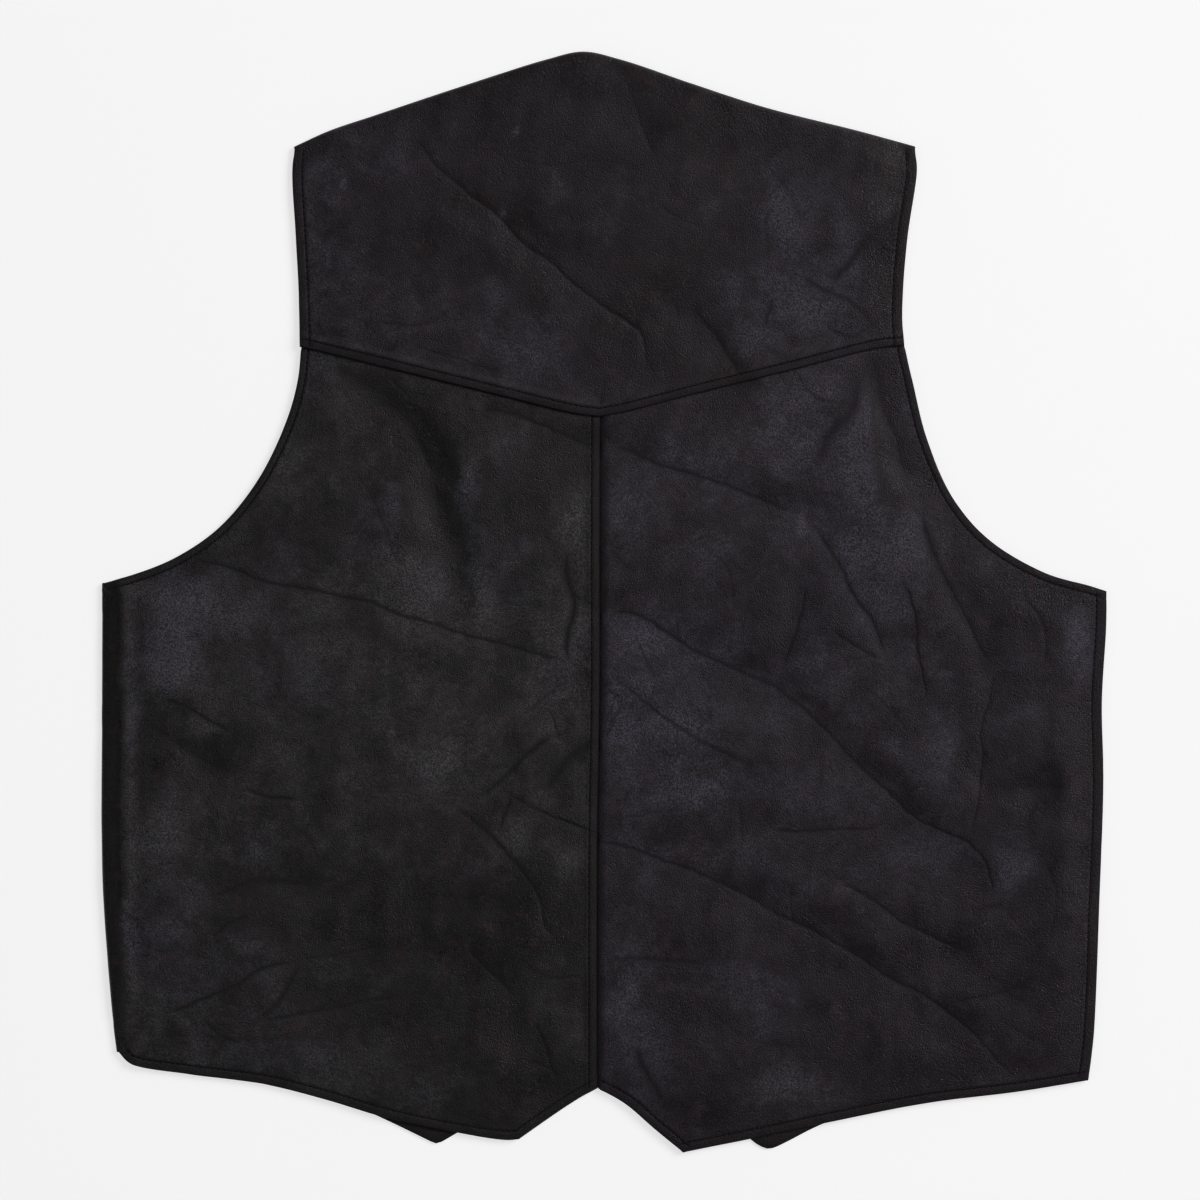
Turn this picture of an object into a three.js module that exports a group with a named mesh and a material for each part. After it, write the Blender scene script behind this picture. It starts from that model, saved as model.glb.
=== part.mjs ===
// A leather vest laid flat on a surface with its back upward.
// The back is a pointed yoke and two panels with a centre seam. Two plain fronts lie beneath it, and
// their hem points reach out just below the back's hem. The yoke rolls over the shoulder line and the
// left back panel rolls over the left side, and both turn under to meet the fronts.
// Millimetres, +Z up from the surface, +Y towards the shoulders, -X the wearer's left side.
import * as THREE from "three";

// Leather and seams
const leather = 1.5;
const seamGap = 0.3;
const foldedEdge = { width: 7, slope: 2.5, rise: 1.3 };
const centreAllowance = { width: 7, slope: 2, rise: 0.8 };
const centreDip = { width: 2.5, depth: 0.6 };

// How the back lies: the height of its outer face above the surface
const bodyHeight = 6;
const edgeHeight = 3.9;
const edgeFall = 32;

// How far in from the outline the rolled edges are turned under, and the angles of the roll's facets
const turnUnder = 18;
const rollAngles = [30, 60, 90, 120, 150, 180];

// The stretches of the back's edges that the fronts meet, as shares of the length of each edge
const frontStretches = {
  leftSide: { from: 0.985, to: 0.015 },
  leftShoulder: { from: 0.236, to: 0.035 },
  rightSide: { from: 0.02, to: 0.98 },
  rightShoulder: { from: 0.965, to: 0.754 },
};

// Number of facets across and along each piece
const panelColumns = 25;
const panelRows = 30;
const yokeColumns = 40;
const yokeRows = 15;
const frontEdgeSteps = 12;
const freeEdgeSteps = 36;

// Outline of the back. Each run goes left to right, or upwards, and a smooth curve joins its points.
// An edge that meets a rolled one ends where that roll starts.
const shoulderLine = [
  { x: -186.8, y: 272.6 },
  { x: -165.6, y: 282.2 },
  { x: -137.4, y: 291.8 },
  { x: -80.4, y: 310.8 },
  { x: -34.8, y: 325.2 },
  { x: -12.6, y: 330 },
  { x: 10.2, y: 325.2 },
  { x: 52.8, y: 310.8 },
  { x: 97.2, y: 296.4 },
  { x: 154.2, y: 282 },
  { x: 187.4, y: 273 },
];
const yokeLeftEdge = [
  { x: -182.4, y: 153.2 },
  { x: -183, y: 181 },
  { x: -184.8, y: 217.2 },
  { x: -187, y: 258 },
  { x: -186, y: 270.9 },
];
const yokeRightEdge = [
  { x: 180, y: 153.8 },
  { x: 178.8, y: 172 },
  { x: 181.8, y: 217.2 },
  { x: 187.6, y: 258 },
  { x: 186.9, y: 271.2 },
];
const yokeSeamLeft = [
  { x: -182.4, y: 153.2 },
  { x: -123, y: 138.6 },
  { x: -64.2, y: 124.2 },
  { x: -18, y: 113 },
  { x: -2.4, y: 111 },
];
const yokeSeamRight = [
  { x: -2.4, y: 111 },
  { x: 14, y: 114.2 },
  { x: 50.4, y: 123.6 },
  { x: 115.8, y: 139.8 },
  { x: 164, y: 152 },
  { x: 180, y: 153.8 },
];
const armholeLeft = [
  { x: -299, y: 10 },
  { x: -284.4, y: 15.8 },
  { x: -257.4, y: 26.4 },
  { x: -230.4, y: 45 },
  { x: -207, y: 74 },
  { x: -190.2, y: 109.2 },
  { x: -183.6, y: 133.2 },
  { x: -181.6, y: 152.7 },
];
const armholeRight = [
  { x: 180.2, y: 153.3 },
  { x: 184.8, y: 133.2 },
  { x: 193.8, y: 97.2 },
  { x: 210, y: 61.2 },
  { x: 231, y: 37.2 },
  { x: 264.6, y: 17.4 },
  { x: 291.6, y: 9.6 },
  { x: 301.2, y: 6.5 },
];
const sideLeft = [
  { x: -292, y: -271.5 },
  { x: -294, y: -256 },
  { x: -297.8, y: -214 },
  { x: -300.4, y: -176 },
  { x: -301.4, y: -136 },
  { x: -301.2, y: -70 },
  { x: -301, y: 9.6 },
];
const sideRight = [
  { x: 290.4, y: -286.8 },
  { x: 293.4, y: -262.8 },
  { x: 297, y: -179 },
  { x: 299.4, y: -107 },
  { x: 298.5, y: -60 },
  { x: 301.2, y: -12 },
  { x: 301.2, y: 6.5 },
];
const hemLeft = [
  { x: -290, y: -271.5 },
  { x: -284.4, y: -277 },
  { x: -248.4, y: -283.2 },
  { x: -203.4, y: -289.2 },
  { x: -167.4, y: -298.2 },
  { x: -131.4, y: -309 },
  { x: -89.4, y: -318 },
  { x: -58, y: -322.6 },
  { x: -51, y: -322 },
];
const hemLeftNotch = [
  { x: -51, y: -322 },
  { x: -32.4, y: -309 },
  { x: -14.4, y: -297.2 },
  { x: -4.2, y: -291.6 },
];
const hemRightNotch = [
  { x: -4.2, y: -291.6 },
  { x: 12.6, y: -300.6 },
  { x: 30.6, y: -316.2 },
  { x: 47.4, y: -330 },
];
const hemRight = [
  { x: 47.4, y: -330 },
  { x: 87.6, y: -321.9 },
  { x: 134.4, y: -312 },
  { x: 192.6, y: -300.6 },
  { x: 246, y: -294 },
  { x: 290.4, y: -286.8 },
];
const centreSeam = [
  { x: -4.2, y: -291.6 },
  { x: -4, y: -140 },
  { x: -2.7, y: -60 },
  { x: -2.6, y: 40 },
  { x: -2.4, y: 110.6 },
];

// Outline of the fronts, where it differs from the back's
const frontArmholeLeft = [
  { x: -171, y: 250 },
  { x: -170, y: 205 },
  { x: -173, y: 150 },
  { x: -186, y: 98 },
  { x: -206, y: 60 },
  { x: -234, y: 30 },
  { x: -258, y: 14 },
  { x: -276, y: 6 },
];
const frontArmholeRight = [
  { x: 300.4, y: 4.5 },
  { x: 262, y: 9 },
  { x: 226, y: 30 },
  { x: 203, y: 60 },
  { x: 186, y: 98 },
  { x: 173, y: 150 },
  { x: 170, y: 205 },
  { x: 171, y: 250 },
];
const frontHemLeft = [
  { x: -271.5, y: -274 },
  { x: -203.4, y: -284 },
  { x: -167.4, y: -294 },
  { x: -140, y: -306.4 },
  { x: -122.4, y: -314.6 },
  { x: -104.4, y: -323.4 },
];
const frontPointLeft = [
  { x: -104.4, y: -323.4 },
  { x: -100.2, y: -324.8 },
  { x: -96.2, y: -323.2 },
];
const frontPointRight = [
  { x: 91.6, y: -325.2 },
  { x: 97, y: -327.8 },
  { x: 101.2, y: -327.6 },
  { x: 107.6, y: -324.8 },
];
const frontHemRight = [
  { x: 107.6, y: -324.8 },
  { x: 134.4, y: -311.8 },
  { x: 192.6, y: -296 },
  { x: 246, y: -290 },
  { x: 289.4, y: -283 },
];
const frontCorner = { left: 7.5, right: 10.5, y: -262 };
const neckEdge = [
  { left: 7.5, right: 10.5, y: 8 },
  { left: -30, right: 40, y: 62 },
  { left: -70, right: 70, y: 140 },
  { left: -90, right: 86, y: 222 },
];

// The largest folds and hollows of the back. Each runs straight from one end to the other; left and right
// are its half widths on the two sides of that run, and rise is below zero for a trough.
const folds = [
  // Yoke
  { fromX: -116, fromY: 276, toX: 22, toY: 160, left: 22, right: 9, rise: -1.7 },
  { fromX: -76, fromY: 218, toX: -6, toY: 148, left: 12, right: 22, rise: 1.5 },
  { fromX: -172, fromY: 158, toX: -86, toY: 174, left: 10, right: 12, rise: 1.5 },
  { fromX: 181, fromY: 236, toX: 142, toY: 192, left: 12, right: 9, rise: -1.5 },
  { fromX: 50, fromY: 172, toX: 84, toY: 134, left: 9, right: 13, rise: -1.4 },
  { fromX: 12, fromY: 314, toX: 34, toY: 262, left: 9, right: 14, rise: -1.2 },
  { fromX: 96, fromY: 252, toX: 160, toY: 176, left: 20, right: 18, rise: 1.2 },
  // Left back panel
  { fromX: -168, fromY: 148, toX: -104, toY: 92, left: 13, right: 15, rise: -1.9 },
  { fromX: -104, fromY: 104, toX: -86, toY: -4, left: 12, right: 15, rise: -2.1 },
  { fromX: -124, fromY: 72, toX: -104, toY: -2, left: 12, right: 20, rise: 1.7 },
  { fromX: -72, fromY: 78, toX: -74, toY: -8, left: 14, right: 10, rise: 1.4 },
  { fromX: -244, fromY: 24, toX: -24, toY: -34, left: 20, right: 9, rise: -1.6 },
  { fromX: -276, fromY: -64, toX: -224, toY: -100, left: 14, right: 14, rise: -1.8 },
  { fromX: -268, fromY: -46, toX: -216, toY: -72, left: 12, right: 10, rise: 1.4 },
  { fromX: -72, fromY: -116, toX: -28, toY: -84, left: 10, right: 9, rise: -1.4 },
  { fromX: -232, fromY: -168, toX: -30, toY: -180, left: 18, right: 17, rise: -2.1 },
  { fromX: -234, fromY: -240, toX: -126, toY: -198, left: 13, right: 13, rise: 1.7 },
  { fromX: -212, fromY: -252, toX: -104, toY: -236, left: 10, right: 12, rise: -1.2 },
  { fromX: -262, fromY: -8, toX: -262, toY: -236, left: 16, right: 16, rise: 1.2 },
  { fromX: -60, fromY: -238, toX: -30, toY: -304, left: 14, right: 14, rise: -1.4 },
  // Creases that cross the centre seam
  { fromX: -70, fromY: 114, toX: 122, toY: 51, left: 9, right: 16, rise: -1.5 },
  // Right back panel
  { fromX: 122, fromY: 51, toX: 106, toY: -42, left: 16, right: 9, rise: -1.2 },
  { fromX: 124, fromY: 50, toX: 192, toY: -60, left: 18, right: 9, rise: -1.4 },
  { fromX: 140, fromY: 128, toX: 184, toY: 2, left: 18, right: 16, rise: 1.6 },
  { fromX: 167, fromY: 142, toX: 182, toY: 78, left: 9, right: 10, rise: -1.4 },
  { fromX: 2, fromY: -6, toX: 112, toY: -54, left: 10, right: 20, rise: -1.7 },
  { fromX: 104, fromY: -48, toX: 238, toY: -180, left: 11, right: 22, rise: -1.9 },
  { fromX: 4, fromY: -30, toX: 104, toY: -96, left: 14, right: 22, rise: 1.2 },
  { fromX: -2, fromY: -140, toX: 130, toY: -196, left: 12, right: 22, rise: -2 },
  { fromX: 120, fromY: -190, toX: 248, toY: -282, left: 12, right: 22, rise: -1.9 },
  { fromX: 142, fromY: -168, toX: 240, toY: -232, left: 10, right: 14, rise: -1.3 },
  { fromX: 24, fromY: -176, toX: 118, toY: -226, left: 16, right: 20, rise: 1.4 },
  { fromX: 96, fromY: -138, toX: 172, toY: -134, left: 10, right: 12, rise: -1.2 },
  { fromX: 202, fromY: 36, toX: 232, toY: -40, left: 12, right: 10, rise: -1.3 },
  { fromX: 232, fromY: -24, toX: 222, toY: -138, left: 10, right: 12, rise: -1.2 },
  { fromX: 236, fromY: -112, toX: 272, toY: -106, left: 14, right: 14, rise: -1.6 },
  { fromX: 278, fromY: -14, toX: 276, toY: -236, left: 15, right: 15, rise: 1.2 },
  { fromX: 26, fromY: -268, toX: 44, toY: -318, left: 12, right: 12, rise: -1.3 },
];

const up = new THREE.Vector3(0, 0, 1);

function smooth(value) {
  const part = THREE.MathUtils.clamp(value, 0, 1);
  return part * part * (3 - 2 * part);
}

// A smooth curve through a table of points, as a function of the share of its length
function curveThrough(table) {
  const points = table.map(({ x, y }) => new THREE.Vector3(x, y, 0));
  const curve = new THREE.CatmullRomCurve3(points, false, "centripetal");
  return (share) => curve.getPointAt(THREE.MathUtils.clamp(share, 0, 1));
}

// Two curves as one, with the corner between them at a given share
function cornered(first, second, cornerShare) {
  return (share) =>
    share <= cornerShare ? first(share / cornerShare) : second((share - cornerShare) / (1 - cornerShare));
}

// The level direction to the left of a curve at one place
function leftOf(curve, share) {
  const step = 0.01;
  const run = curve(share + step).sub(curve(share - step));
  return new THREE.Vector3(-run.y, run.x, 0).normalize();
}

// Where a rolled edge leaves the top: in from its outline by half the height of the back there
function rollStart(outline) {
  return (share) => {
    const outward = leftOf(outline, share);
    const inside = outline(share).addScaledVector(outward, -bodyHeight / 2);
    return outline(share).addScaledVector(outward, -backHeight(inside.x, inside.y) / 2);
  };
}

// The same curve moved sideways
function movedLeft(curve, distance) {
  return (share) => curve(share).addScaledVector(leftOf(curve, share), distance);
}

// Points at equal steps along a stretch of a curve
function sampled(curve, steps, { from, to } = { from: 0, to: 1 }) {
  return Array.from({ length: steps + 1 }, (_, index) => curve(from + ((to - from) * index) / steps));
}

const edges = {
  shoulder: curveThrough(shoulderLine),
  yokeLeft: curveThrough(yokeLeftEdge),
  yokeRight: curveThrough(yokeRightEdge),
  seamLeft: curveThrough(yokeSeamLeft),
  seamRight: curveThrough(yokeSeamRight),
  armholeLeft: curveThrough(armholeLeft),
  armholeRight: curveThrough(armholeRight),
  sideLeft: curveThrough(sideLeft),
  sideRight: curveThrough(sideRight),
  hemLeft: curveThrough(hemLeft),
  hemLeftNotch: curveThrough(hemLeftNotch),
  hemRightNotch: curveThrough(hemRightNotch),
  hemRight: curveThrough(hemRight),
  centre: curveThrough(centreSeam),
};

// Edges that are cut, turned in and stitched, where the back comes down onto the fronts
const freeEdges = [
  edges.yokeLeft,
  edges.yokeRight,
  edges.armholeLeft,
  edges.armholeRight,
  edges.sideRight,
  edges.hemLeft,
  edges.hemLeftNotch,
  edges.hemRightNotch,
  edges.hemRight,
].map((edge) => sampled(edge, freeEdgeSteps));

function distanceToFreeEdge(x, y) {
  const here = new THREE.Vector3(x, y, 0);
  const nearest = new THREE.Vector3();
  const segment = new THREE.Line3();
  let least = Infinity;
  for (const points of freeEdges) {
    for (let index = 0; index < freeEdgeSteps; index += 1) {
      segment.set(points[index], points[index + 1]);
      segment.closestPointToPoint(here, true, nearest);
      least = Math.min(least, nearest.distanceTo(here));
    }
  }
  return least;
}

// A fold's rise at a place: bell shaped across its run, and fading out at both ends
function foldRise(fold, x, y) {
  const runX = fold.toX - fold.fromX;
  const runY = fold.toY - fold.fromY;
  const length = Math.hypot(runX, runY);
  const along = ((x - fold.fromX) * runX + (y - fold.fromY) * runY) / (length * length);
  const across = (runX * (y - fold.fromY) - runY * (x - fold.fromX)) / length;
  const halfWidth = across > 0 ? fold.left : fold.right;
  const overshoot = Math.max(0, -along, along - 1) * length;
  const reach = Math.hypot(across, overshoot) / halfWidth;
  const middle = 0.55 + 0.45 * Math.sin(Math.PI * THREE.MathUtils.clamp(along, 0, 1));
  return fold.rise * middle * Math.exp(-reach * reach);
}

// Height of the back's outer face above the surface it lies on
const foldAtEdge = 0.3;
function backHeight(x, y) {
  const inward = smooth(distanceToFreeEdge(x, y) / edgeFall);
  const folded = folds.reduce((sum, fold) => sum + foldRise(fold, x, y), 0);
  const height = THREE.MathUtils.lerp(edgeHeight, bodyHeight, inward);
  return Math.max(edgeHeight, height + folded * (foldAtEdge + (1 - foldAtEdge) * inward));
}

// The direction that the back's outer face looks in
function backNormal(x, y) {
  const step = 2;
  const slopeX = (backHeight(x + step, y) - backHeight(x - step, y)) / (2 * step);
  const slopeY = (backHeight(x, y + step) - backHeight(x, y - step)) / (2 * step);
  return new THREE.Vector3(-slopeX, -slopeY, 1).normalize();
}

// One place on a wall: its point on the outer face and the one behind it on the inner face
function wallPoint(x, y, normal, relief) {
  const base = new THREE.Vector3(x, y, backHeight(x, y));
  return {
    outer: base.clone().addScaledVector(normal, relief),
    inner: base.addScaledVector(normal, -leather),
  };
}

// A sheet carried on past its rolled edge: round half a turn, then flat on the surface
function rolledPoint(topPoint, outward, degrees, flatRun) {
  const radius = topPoint.z / 2;
  const angle = THREE.MathUtils.degToRad(degrees);
  const normal = outward.clone().multiplyScalar(Math.sin(angle)).addScaledVector(up, Math.cos(angle));
  const centre = topPoint.clone().setZ(radius).addScaledVector(outward, -flatRun);
  const outer = centre.addScaledVector(normal, radius);
  return { outer, inner: outer.clone().addScaledVector(normal, -leather) };
}

// The run of points past one rolled edge, from the top of the roll to the turned under edge
function rollRun(topPoint, outward) {
  const flatRun = turnUnder - topPoint.z / 2;
  return [
    ...rollAngles.map((degrees) => rolledPoint(topPoint, outward, degrees, 0)),
    rolledPoint(topPoint, outward, 180, flatRun / 2),
    rolledPoint(topPoint, outward, 180, flatRun),
  ];
}

// A four-sided surface between its boundary curves
function patch(bottom, top, left, right) {
  return (u, v) => {
    const sides = left(v).multiplyScalar(1 - u).addScaledVector(right(v), u);
    const ends = bottom(u).multiplyScalar(1 - v).addScaledVector(top(u), v);
    const corners = bottom(0).multiplyScalar((1 - u) * (1 - v));
    corners.addScaledVector(bottom(1), u * (1 - v));
    corners.addScaledVector(top(0), (1 - u) * v);
    corners.addScaledVector(top(1), u * v);
    return sides.add(ends).sub(corners);
  };
}

// Equal steps from one share to the whole
function evenShares(count, from = 0) {
  return Array.from({ length: count + 1 }, (_, index) => from + ((1 - from) * index) / count);
}

// Rows as columns, or columns as rows
function transposed(grid) {
  return grid[0].map((_, index) => grid.map((line) => line[index]));
}

// A closed wall from columns of outer and inner points. The columns go to the right and their points upwards
// as the outer face is seen.
function wall(name, material, columns) {
  const rowCount = columns[0].length;
  const positions = [];
  for (const column of columns) {
    for (const { outer, inner } of column) {
      positions.push(...outer.toArray(), ...inner.toArray());
    }
  }
  const outerAt = (column, row) => 2 * (column * rowCount + row);
  const innerAt = (column, row) => outerAt(column, row) + 1;
  const heightOf = (index) => positions[3 * index + 2];
  const faces = [];
  // Each facet is split along the diagonal that falls less, so that the split follows the folds
  const quad = (a, b, c, d) => {
    const alongFirst = Math.abs(heightOf(a) - heightOf(c)) <= Math.abs(heightOf(b) - heightOf(d));
    faces.push(...(alongFirst ? [a, b, c, a, c, d] : [a, b, d, b, c, d]));
  };
  const lastColumn = columns.length - 1;
  const lastRow = rowCount - 1;
  for (let column = 0; column < lastColumn; column += 1) {
    const next = column + 1;
    for (let row = 0; row < lastRow; row += 1) {
      const above = row + 1;
      quad(outerAt(column, row), outerAt(next, row), outerAt(next, above), outerAt(column, above));
      quad(innerAt(column, row), innerAt(column, above), innerAt(next, above), innerAt(next, row));
    }
    quad(outerAt(column, 0), innerAt(column, 0), innerAt(next, 0), outerAt(next, 0));
    quad(outerAt(next, lastRow), innerAt(next, lastRow), innerAt(column, lastRow), outerAt(column, lastRow));
  }
  for (let row = 0; row < lastRow; row += 1) {
    const above = row + 1;
    const end = lastColumn;
    quad(outerAt(0, above), innerAt(0, above), innerAt(0, row), outerAt(0, row));
    quad(outerAt(end, row), innerAt(end, row), innerAt(end, above), outerAt(end, above));
  }
  const geometry = new THREE.BufferGeometry();
  geometry.setAttribute("position", new THREE.Float32BufferAttribute(positions, 3));
  geometry.setIndex(faces);
  geometry.computeVertexNormals();
  const mesh = new THREE.Mesh(geometry, material);
  mesh.name = name;
  return mesh;
}

// Leather: black, with a slightly different cast from hide to hide
function leatherMaterial(color) {
  return new THREE.MeshStandardMaterial({ color, roughness: 0.6, metalness: 0 });
}

// The whole width that a row would have if it were all as wide as its first facet beside an edge
function lengthBeside(surface, along, edgeShare, nextShare) {
  return surface(edgeShare, along).distanceTo(surface(nextShare, along)) / Math.abs(nextShare - edgeShare);
}

// Relief of a band beside an edge: full within its width, then sloping away
function band(distance, { width, slope, rise }) {
  return rise * (1 - smooth((distance - width) / slope));
}

// The yoke: its lower edge is folded double over the panels, and its top rolls over the shoulder line
function backYoke() {
  const seam = cornered(edges.seamLeft, edges.seamRight, 0.5);
  const surface = patch(seam, rollStart(edges.shoulder), edges.yokeLeft, edges.yokeRight);
  const columns = [];
  for (let index = 0; index <= yokeColumns; index += 1) {
    const across = index / yokeColumns;
    const length = surface(across, 0).distanceTo(surface(across, 1));
    const bandEnd = foldedEdge.width / length;
    const rowShares = [0, bandEnd, ...evenShares(yokeRows, bandEnd + foldedEdge.slope / length)];
    const column = rowShares.map((share) => {
      const { x, y } = surface(across, share);
      const level = share === 0 || share === 1;
      return wallPoint(x, y, level ? up : backNormal(x, y), band(share * length, foldedEdge));
    });
    const rollTop = column[column.length - 1].outer;
    columns.push([...column, ...rollRun(rollTop, leftOf(edges.shoulder, across))]);
  }
  return wall("back_yoke", leatherMaterial(0x262426), columns);
}

// The left back panel: raised over the seam allowance at the centre, and rolled over the left side
function backLeftPanel() {
  const seam = movedLeft(edges.seamLeft, -seamGap);
  const centre = movedLeft(edges.centre, seamGap / 2);
  const armholeShare = 13 / panelColumns;
  const pointShare = 20 / panelColumns;
  const top = cornered(edges.armholeLeft, seam, armholeShare);
  const bottom = cornered(edges.hemLeft, edges.hemLeftNotch, pointShare);
  const surface = patch(bottom, top, rollStart(edges.sideLeft), centre);
  const rows = evenShares(panelRows).map((along) => {
    const length = lengthBeside(surface, along, 1, (panelColumns - 1) / panelColumns);
    const bandEnd = 1 - centreAllowance.width / length;
    const slopeEnd = bandEnd - centreAllowance.slope / length;
    const across = [...evenShares(panelColumns).slice(0, -1), slopeEnd, bandEnd, 1];
    const row = across.map((share) => {
      const { x, y } = surface(share, along);
      const level = share === 0 || share === 1 || along === 1;
      return wallPoint(x, y, level ? up : backNormal(x, y), band((1 - share) * length, centreAllowance));
    });
    return [...rollRun(row[0].outer, leftOf(edges.sideLeft, along)).reverse(), ...row];
  });
  return wall("back_left_panel", leatherMaterial(0x262524), transposed(rows));
}

// The right back panel: it dips into the centre seam and lies on the front's edge at the right side
function backRightPanel() {
  const seam = movedLeft(edges.seamRight, -seamGap);
  const centre = movedLeft(edges.centre, -seamGap / 2);
  const seamShare = 12 / panelColumns;
  const pointShare = 5 / panelColumns;
  const top = cornered(seam, edges.armholeRight, seamShare);
  const bottom = cornered(edges.hemRightNotch, edges.hemRight, pointShare);
  const surface = patch(bottom, top, centre, edges.sideRight);
  const rows = evenShares(panelRows).map((along) => {
    const length = lengthBeside(surface, along, 0, 1 / panelColumns);
    const across = [0, centreDip.width / length, ...evenShares(panelColumns).slice(1)];
    return across.map((share) => {
      const { x, y } = surface(share, along);
      const level = share === 0 || along === 1;
      const dip = centreDip.depth * (1 - smooth((share * length) / centreDip.width));
      return wallPoint(x, y, level ? up : backNormal(x, y), -dip);
    });
  });
  return wall("back_right_panel", leatherMaterial(0x272528), transposed(rows));
}

// A flat front from its outline
function flatFront(name, outline) {
  const shape = new THREE.Shape(outline.map(({ x, y }) => new THREE.Vector2(x, y)));
  const geometry = new THREE.ExtrudeGeometry(shape, { depth: leather, bevelEnabled: false });
  const mesh = new THREE.Mesh(geometry, leatherMaterial(0x252325));
  mesh.name = name;
  return mesh;
}

// The centre front corner and the neck edge of one front, from the hem up
function openingEdge(side) {
  const place = (row) => ({ x: row[side], y: row.y });
  return [place(frontCorner), ...sampled(curveThrough(neckEdge.map(place)), frontEdgeSteps)];
}

// The lines that the fronts meet: just inside the turned under edges, and just inside the right side seam
const frontShoulder = movedLeft(edges.shoulder, -(turnUnder + seamGap));
const frontLeftSide = movedLeft(edges.sideLeft, -(turnUnder + seamGap));
const frontRightSide = movedLeft(edges.sideRight, seamGap);

function frontLeft() {
  return flatFront("front_left", [
    ...sampled(frontLeftSide, frontEdgeSteps, frontStretches.leftSide),
    ...sampled(curveThrough(frontHemLeft), frontEdgeSteps),
    ...sampled(curveThrough(frontPointLeft), frontEdgeSteps).slice(1),
    ...openingEdge("left"),
    ...sampled(frontShoulder, frontEdgeSteps, frontStretches.leftShoulder),
    ...sampled(curveThrough(frontArmholeLeft), frontEdgeSteps),
  ]);
}

function frontRight() {
  return flatFront("front_right", [
    ...sampled(curveThrough(frontPointRight), frontEdgeSteps),
    ...sampled(curveThrough(frontHemRight), frontEdgeSteps).slice(1),
    ...sampled(frontRightSide, frontEdgeSteps, frontStretches.rightSide),
    ...sampled(curveThrough(frontArmholeRight), frontEdgeSteps),
    ...sampled(frontShoulder, frontEdgeSteps, frontStretches.rightShoulder),
    ...openingEdge("right").reverse(),
  ]);
}

const vest = new THREE.Group();
vest.add(backYoke(), backLeftPanel(), backRightPanel(), frontLeft(), frontRight());

export default vest;
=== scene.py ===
"""A black leather vest lying flat with its back upward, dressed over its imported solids.

The leather is five sheets: a yoke, two back panels and two fronts. Each is a thin closed shell on the form
of its solid, with its creases, turned edges and sewing. The tables are in millimetres: +X is the wearer's
right side, +Y is towards the shoulders, and +Z is up from the floor.
"""
import math
from collections import namedtuple

import bmesh
import bpy
import numpy as np
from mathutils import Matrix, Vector


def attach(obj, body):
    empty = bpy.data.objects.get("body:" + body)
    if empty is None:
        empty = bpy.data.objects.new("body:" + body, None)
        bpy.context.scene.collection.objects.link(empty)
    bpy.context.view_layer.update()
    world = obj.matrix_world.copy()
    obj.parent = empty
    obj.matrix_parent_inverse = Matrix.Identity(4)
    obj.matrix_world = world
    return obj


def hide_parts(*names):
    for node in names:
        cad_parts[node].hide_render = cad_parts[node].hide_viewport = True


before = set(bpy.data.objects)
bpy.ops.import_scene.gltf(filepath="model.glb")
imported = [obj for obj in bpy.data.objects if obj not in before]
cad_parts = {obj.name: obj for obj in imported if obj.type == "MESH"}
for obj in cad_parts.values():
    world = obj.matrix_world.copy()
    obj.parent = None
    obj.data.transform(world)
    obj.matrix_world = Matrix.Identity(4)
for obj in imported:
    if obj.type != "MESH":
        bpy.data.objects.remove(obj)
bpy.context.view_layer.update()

# Leather, seams and turned edges
MM = 0.001
LEATHER = 1.5
TURNED_EDGE = 2.3
TURNING_WIDTH = 8
TURNING_SLOPE = 4
SEAM_GAP = 0.3
YOKE_LAP = 5
LAP_DIP = 0.5
LAP_SLOPE = 1.8
TURN_UNDER = 18
ROLL_ANGLES = range(15, 181, 15)
FLAT_RUN_STEPS = 5
RIM_ANGLES = (60, 30, 0, -30, -60)

# Raised bands beside seams: full within their width, then sloping away
Band = namedtuple("Band", "width slope rise")
FOLDED_EDGE = Band(5.5, 5, 1.2)
CENTRE_ALLOWANCE = Band(5.2, 3.2, 0.4)
CENTRE_DIP = Band(0, 2.4, -1.2)
CENTRE_FADE = 4
ALLOWANCE_DIP = -1.1
ALLOWANCE_SLOPE = 1.5
ALLOWANCE_UNDER = 7

# How the back lies: the height of its outer face above the floor
BODY_HEIGHT = 6
EDGE_HEIGHT = 3.9
EDGE_FALL = 32
FOLD_AT_EDGE = 0.3
LOWEST_TOP = 3.4
SWELL_AT_EDGE = 0.35
FRONTS_TOP = 1.62

# Sewing: how far in from each edge the stitches run, and the size of a stitch
EDGE_STITCH = 4.5
SIDE_STITCH = 6
HEM_STITCH = 5.5
YOKE_STITCH = 5
CENTRE_STITCH = 4.8
STITCH_PITCH = 3.5
STITCH_LENGTH = 2.7
STITCH_RADIUS = 0.36
GROOVE_DEPTH = 0.26
GROOVE_WIDTH = 0.7

# How far stitches stand above the leather, and how far their rows keep clear of its edges
PROUD = 0.16
FRONT_PROUD = 0.04
STITCH_CLEARANCE = 3.5
FRONT_STITCH_CLEARANCE = 4.6

# How far the painted shade of seams, edges and stitch lines reaches, and how strongly painted shade darkens a
# margin past it
GROOVE_PAINTED_SHADE = 0.9
EDGE_PAINTED_SHADE = 1.3
MARGIN_PAINTED_SHADE = Band(3.8, 2, 0.6)

# Mesh cells across and along each sheet, and how close to a crease or stitch line they are halved, and then
# halved again
YOKE_CELLS = (132, 76)
PANEL_CELLS = (150, 144)
FRONT_CELLS = (90, 170)
HALVED_WITHIN = 5
QUARTERED_WITHIN = 2.1
CURVE_STEPS = 24

# The camera looks straight down; how much it sees across, and the middle of its view, in metres
FRAME_WIDTH = 0.72
FRAME_CENTRE = (-0.0024, 0.0012)
FLOOR_GLOW = 0.69
DOME_HORIZON = 0.26
DOME_ZENITH = 0.04

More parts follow.
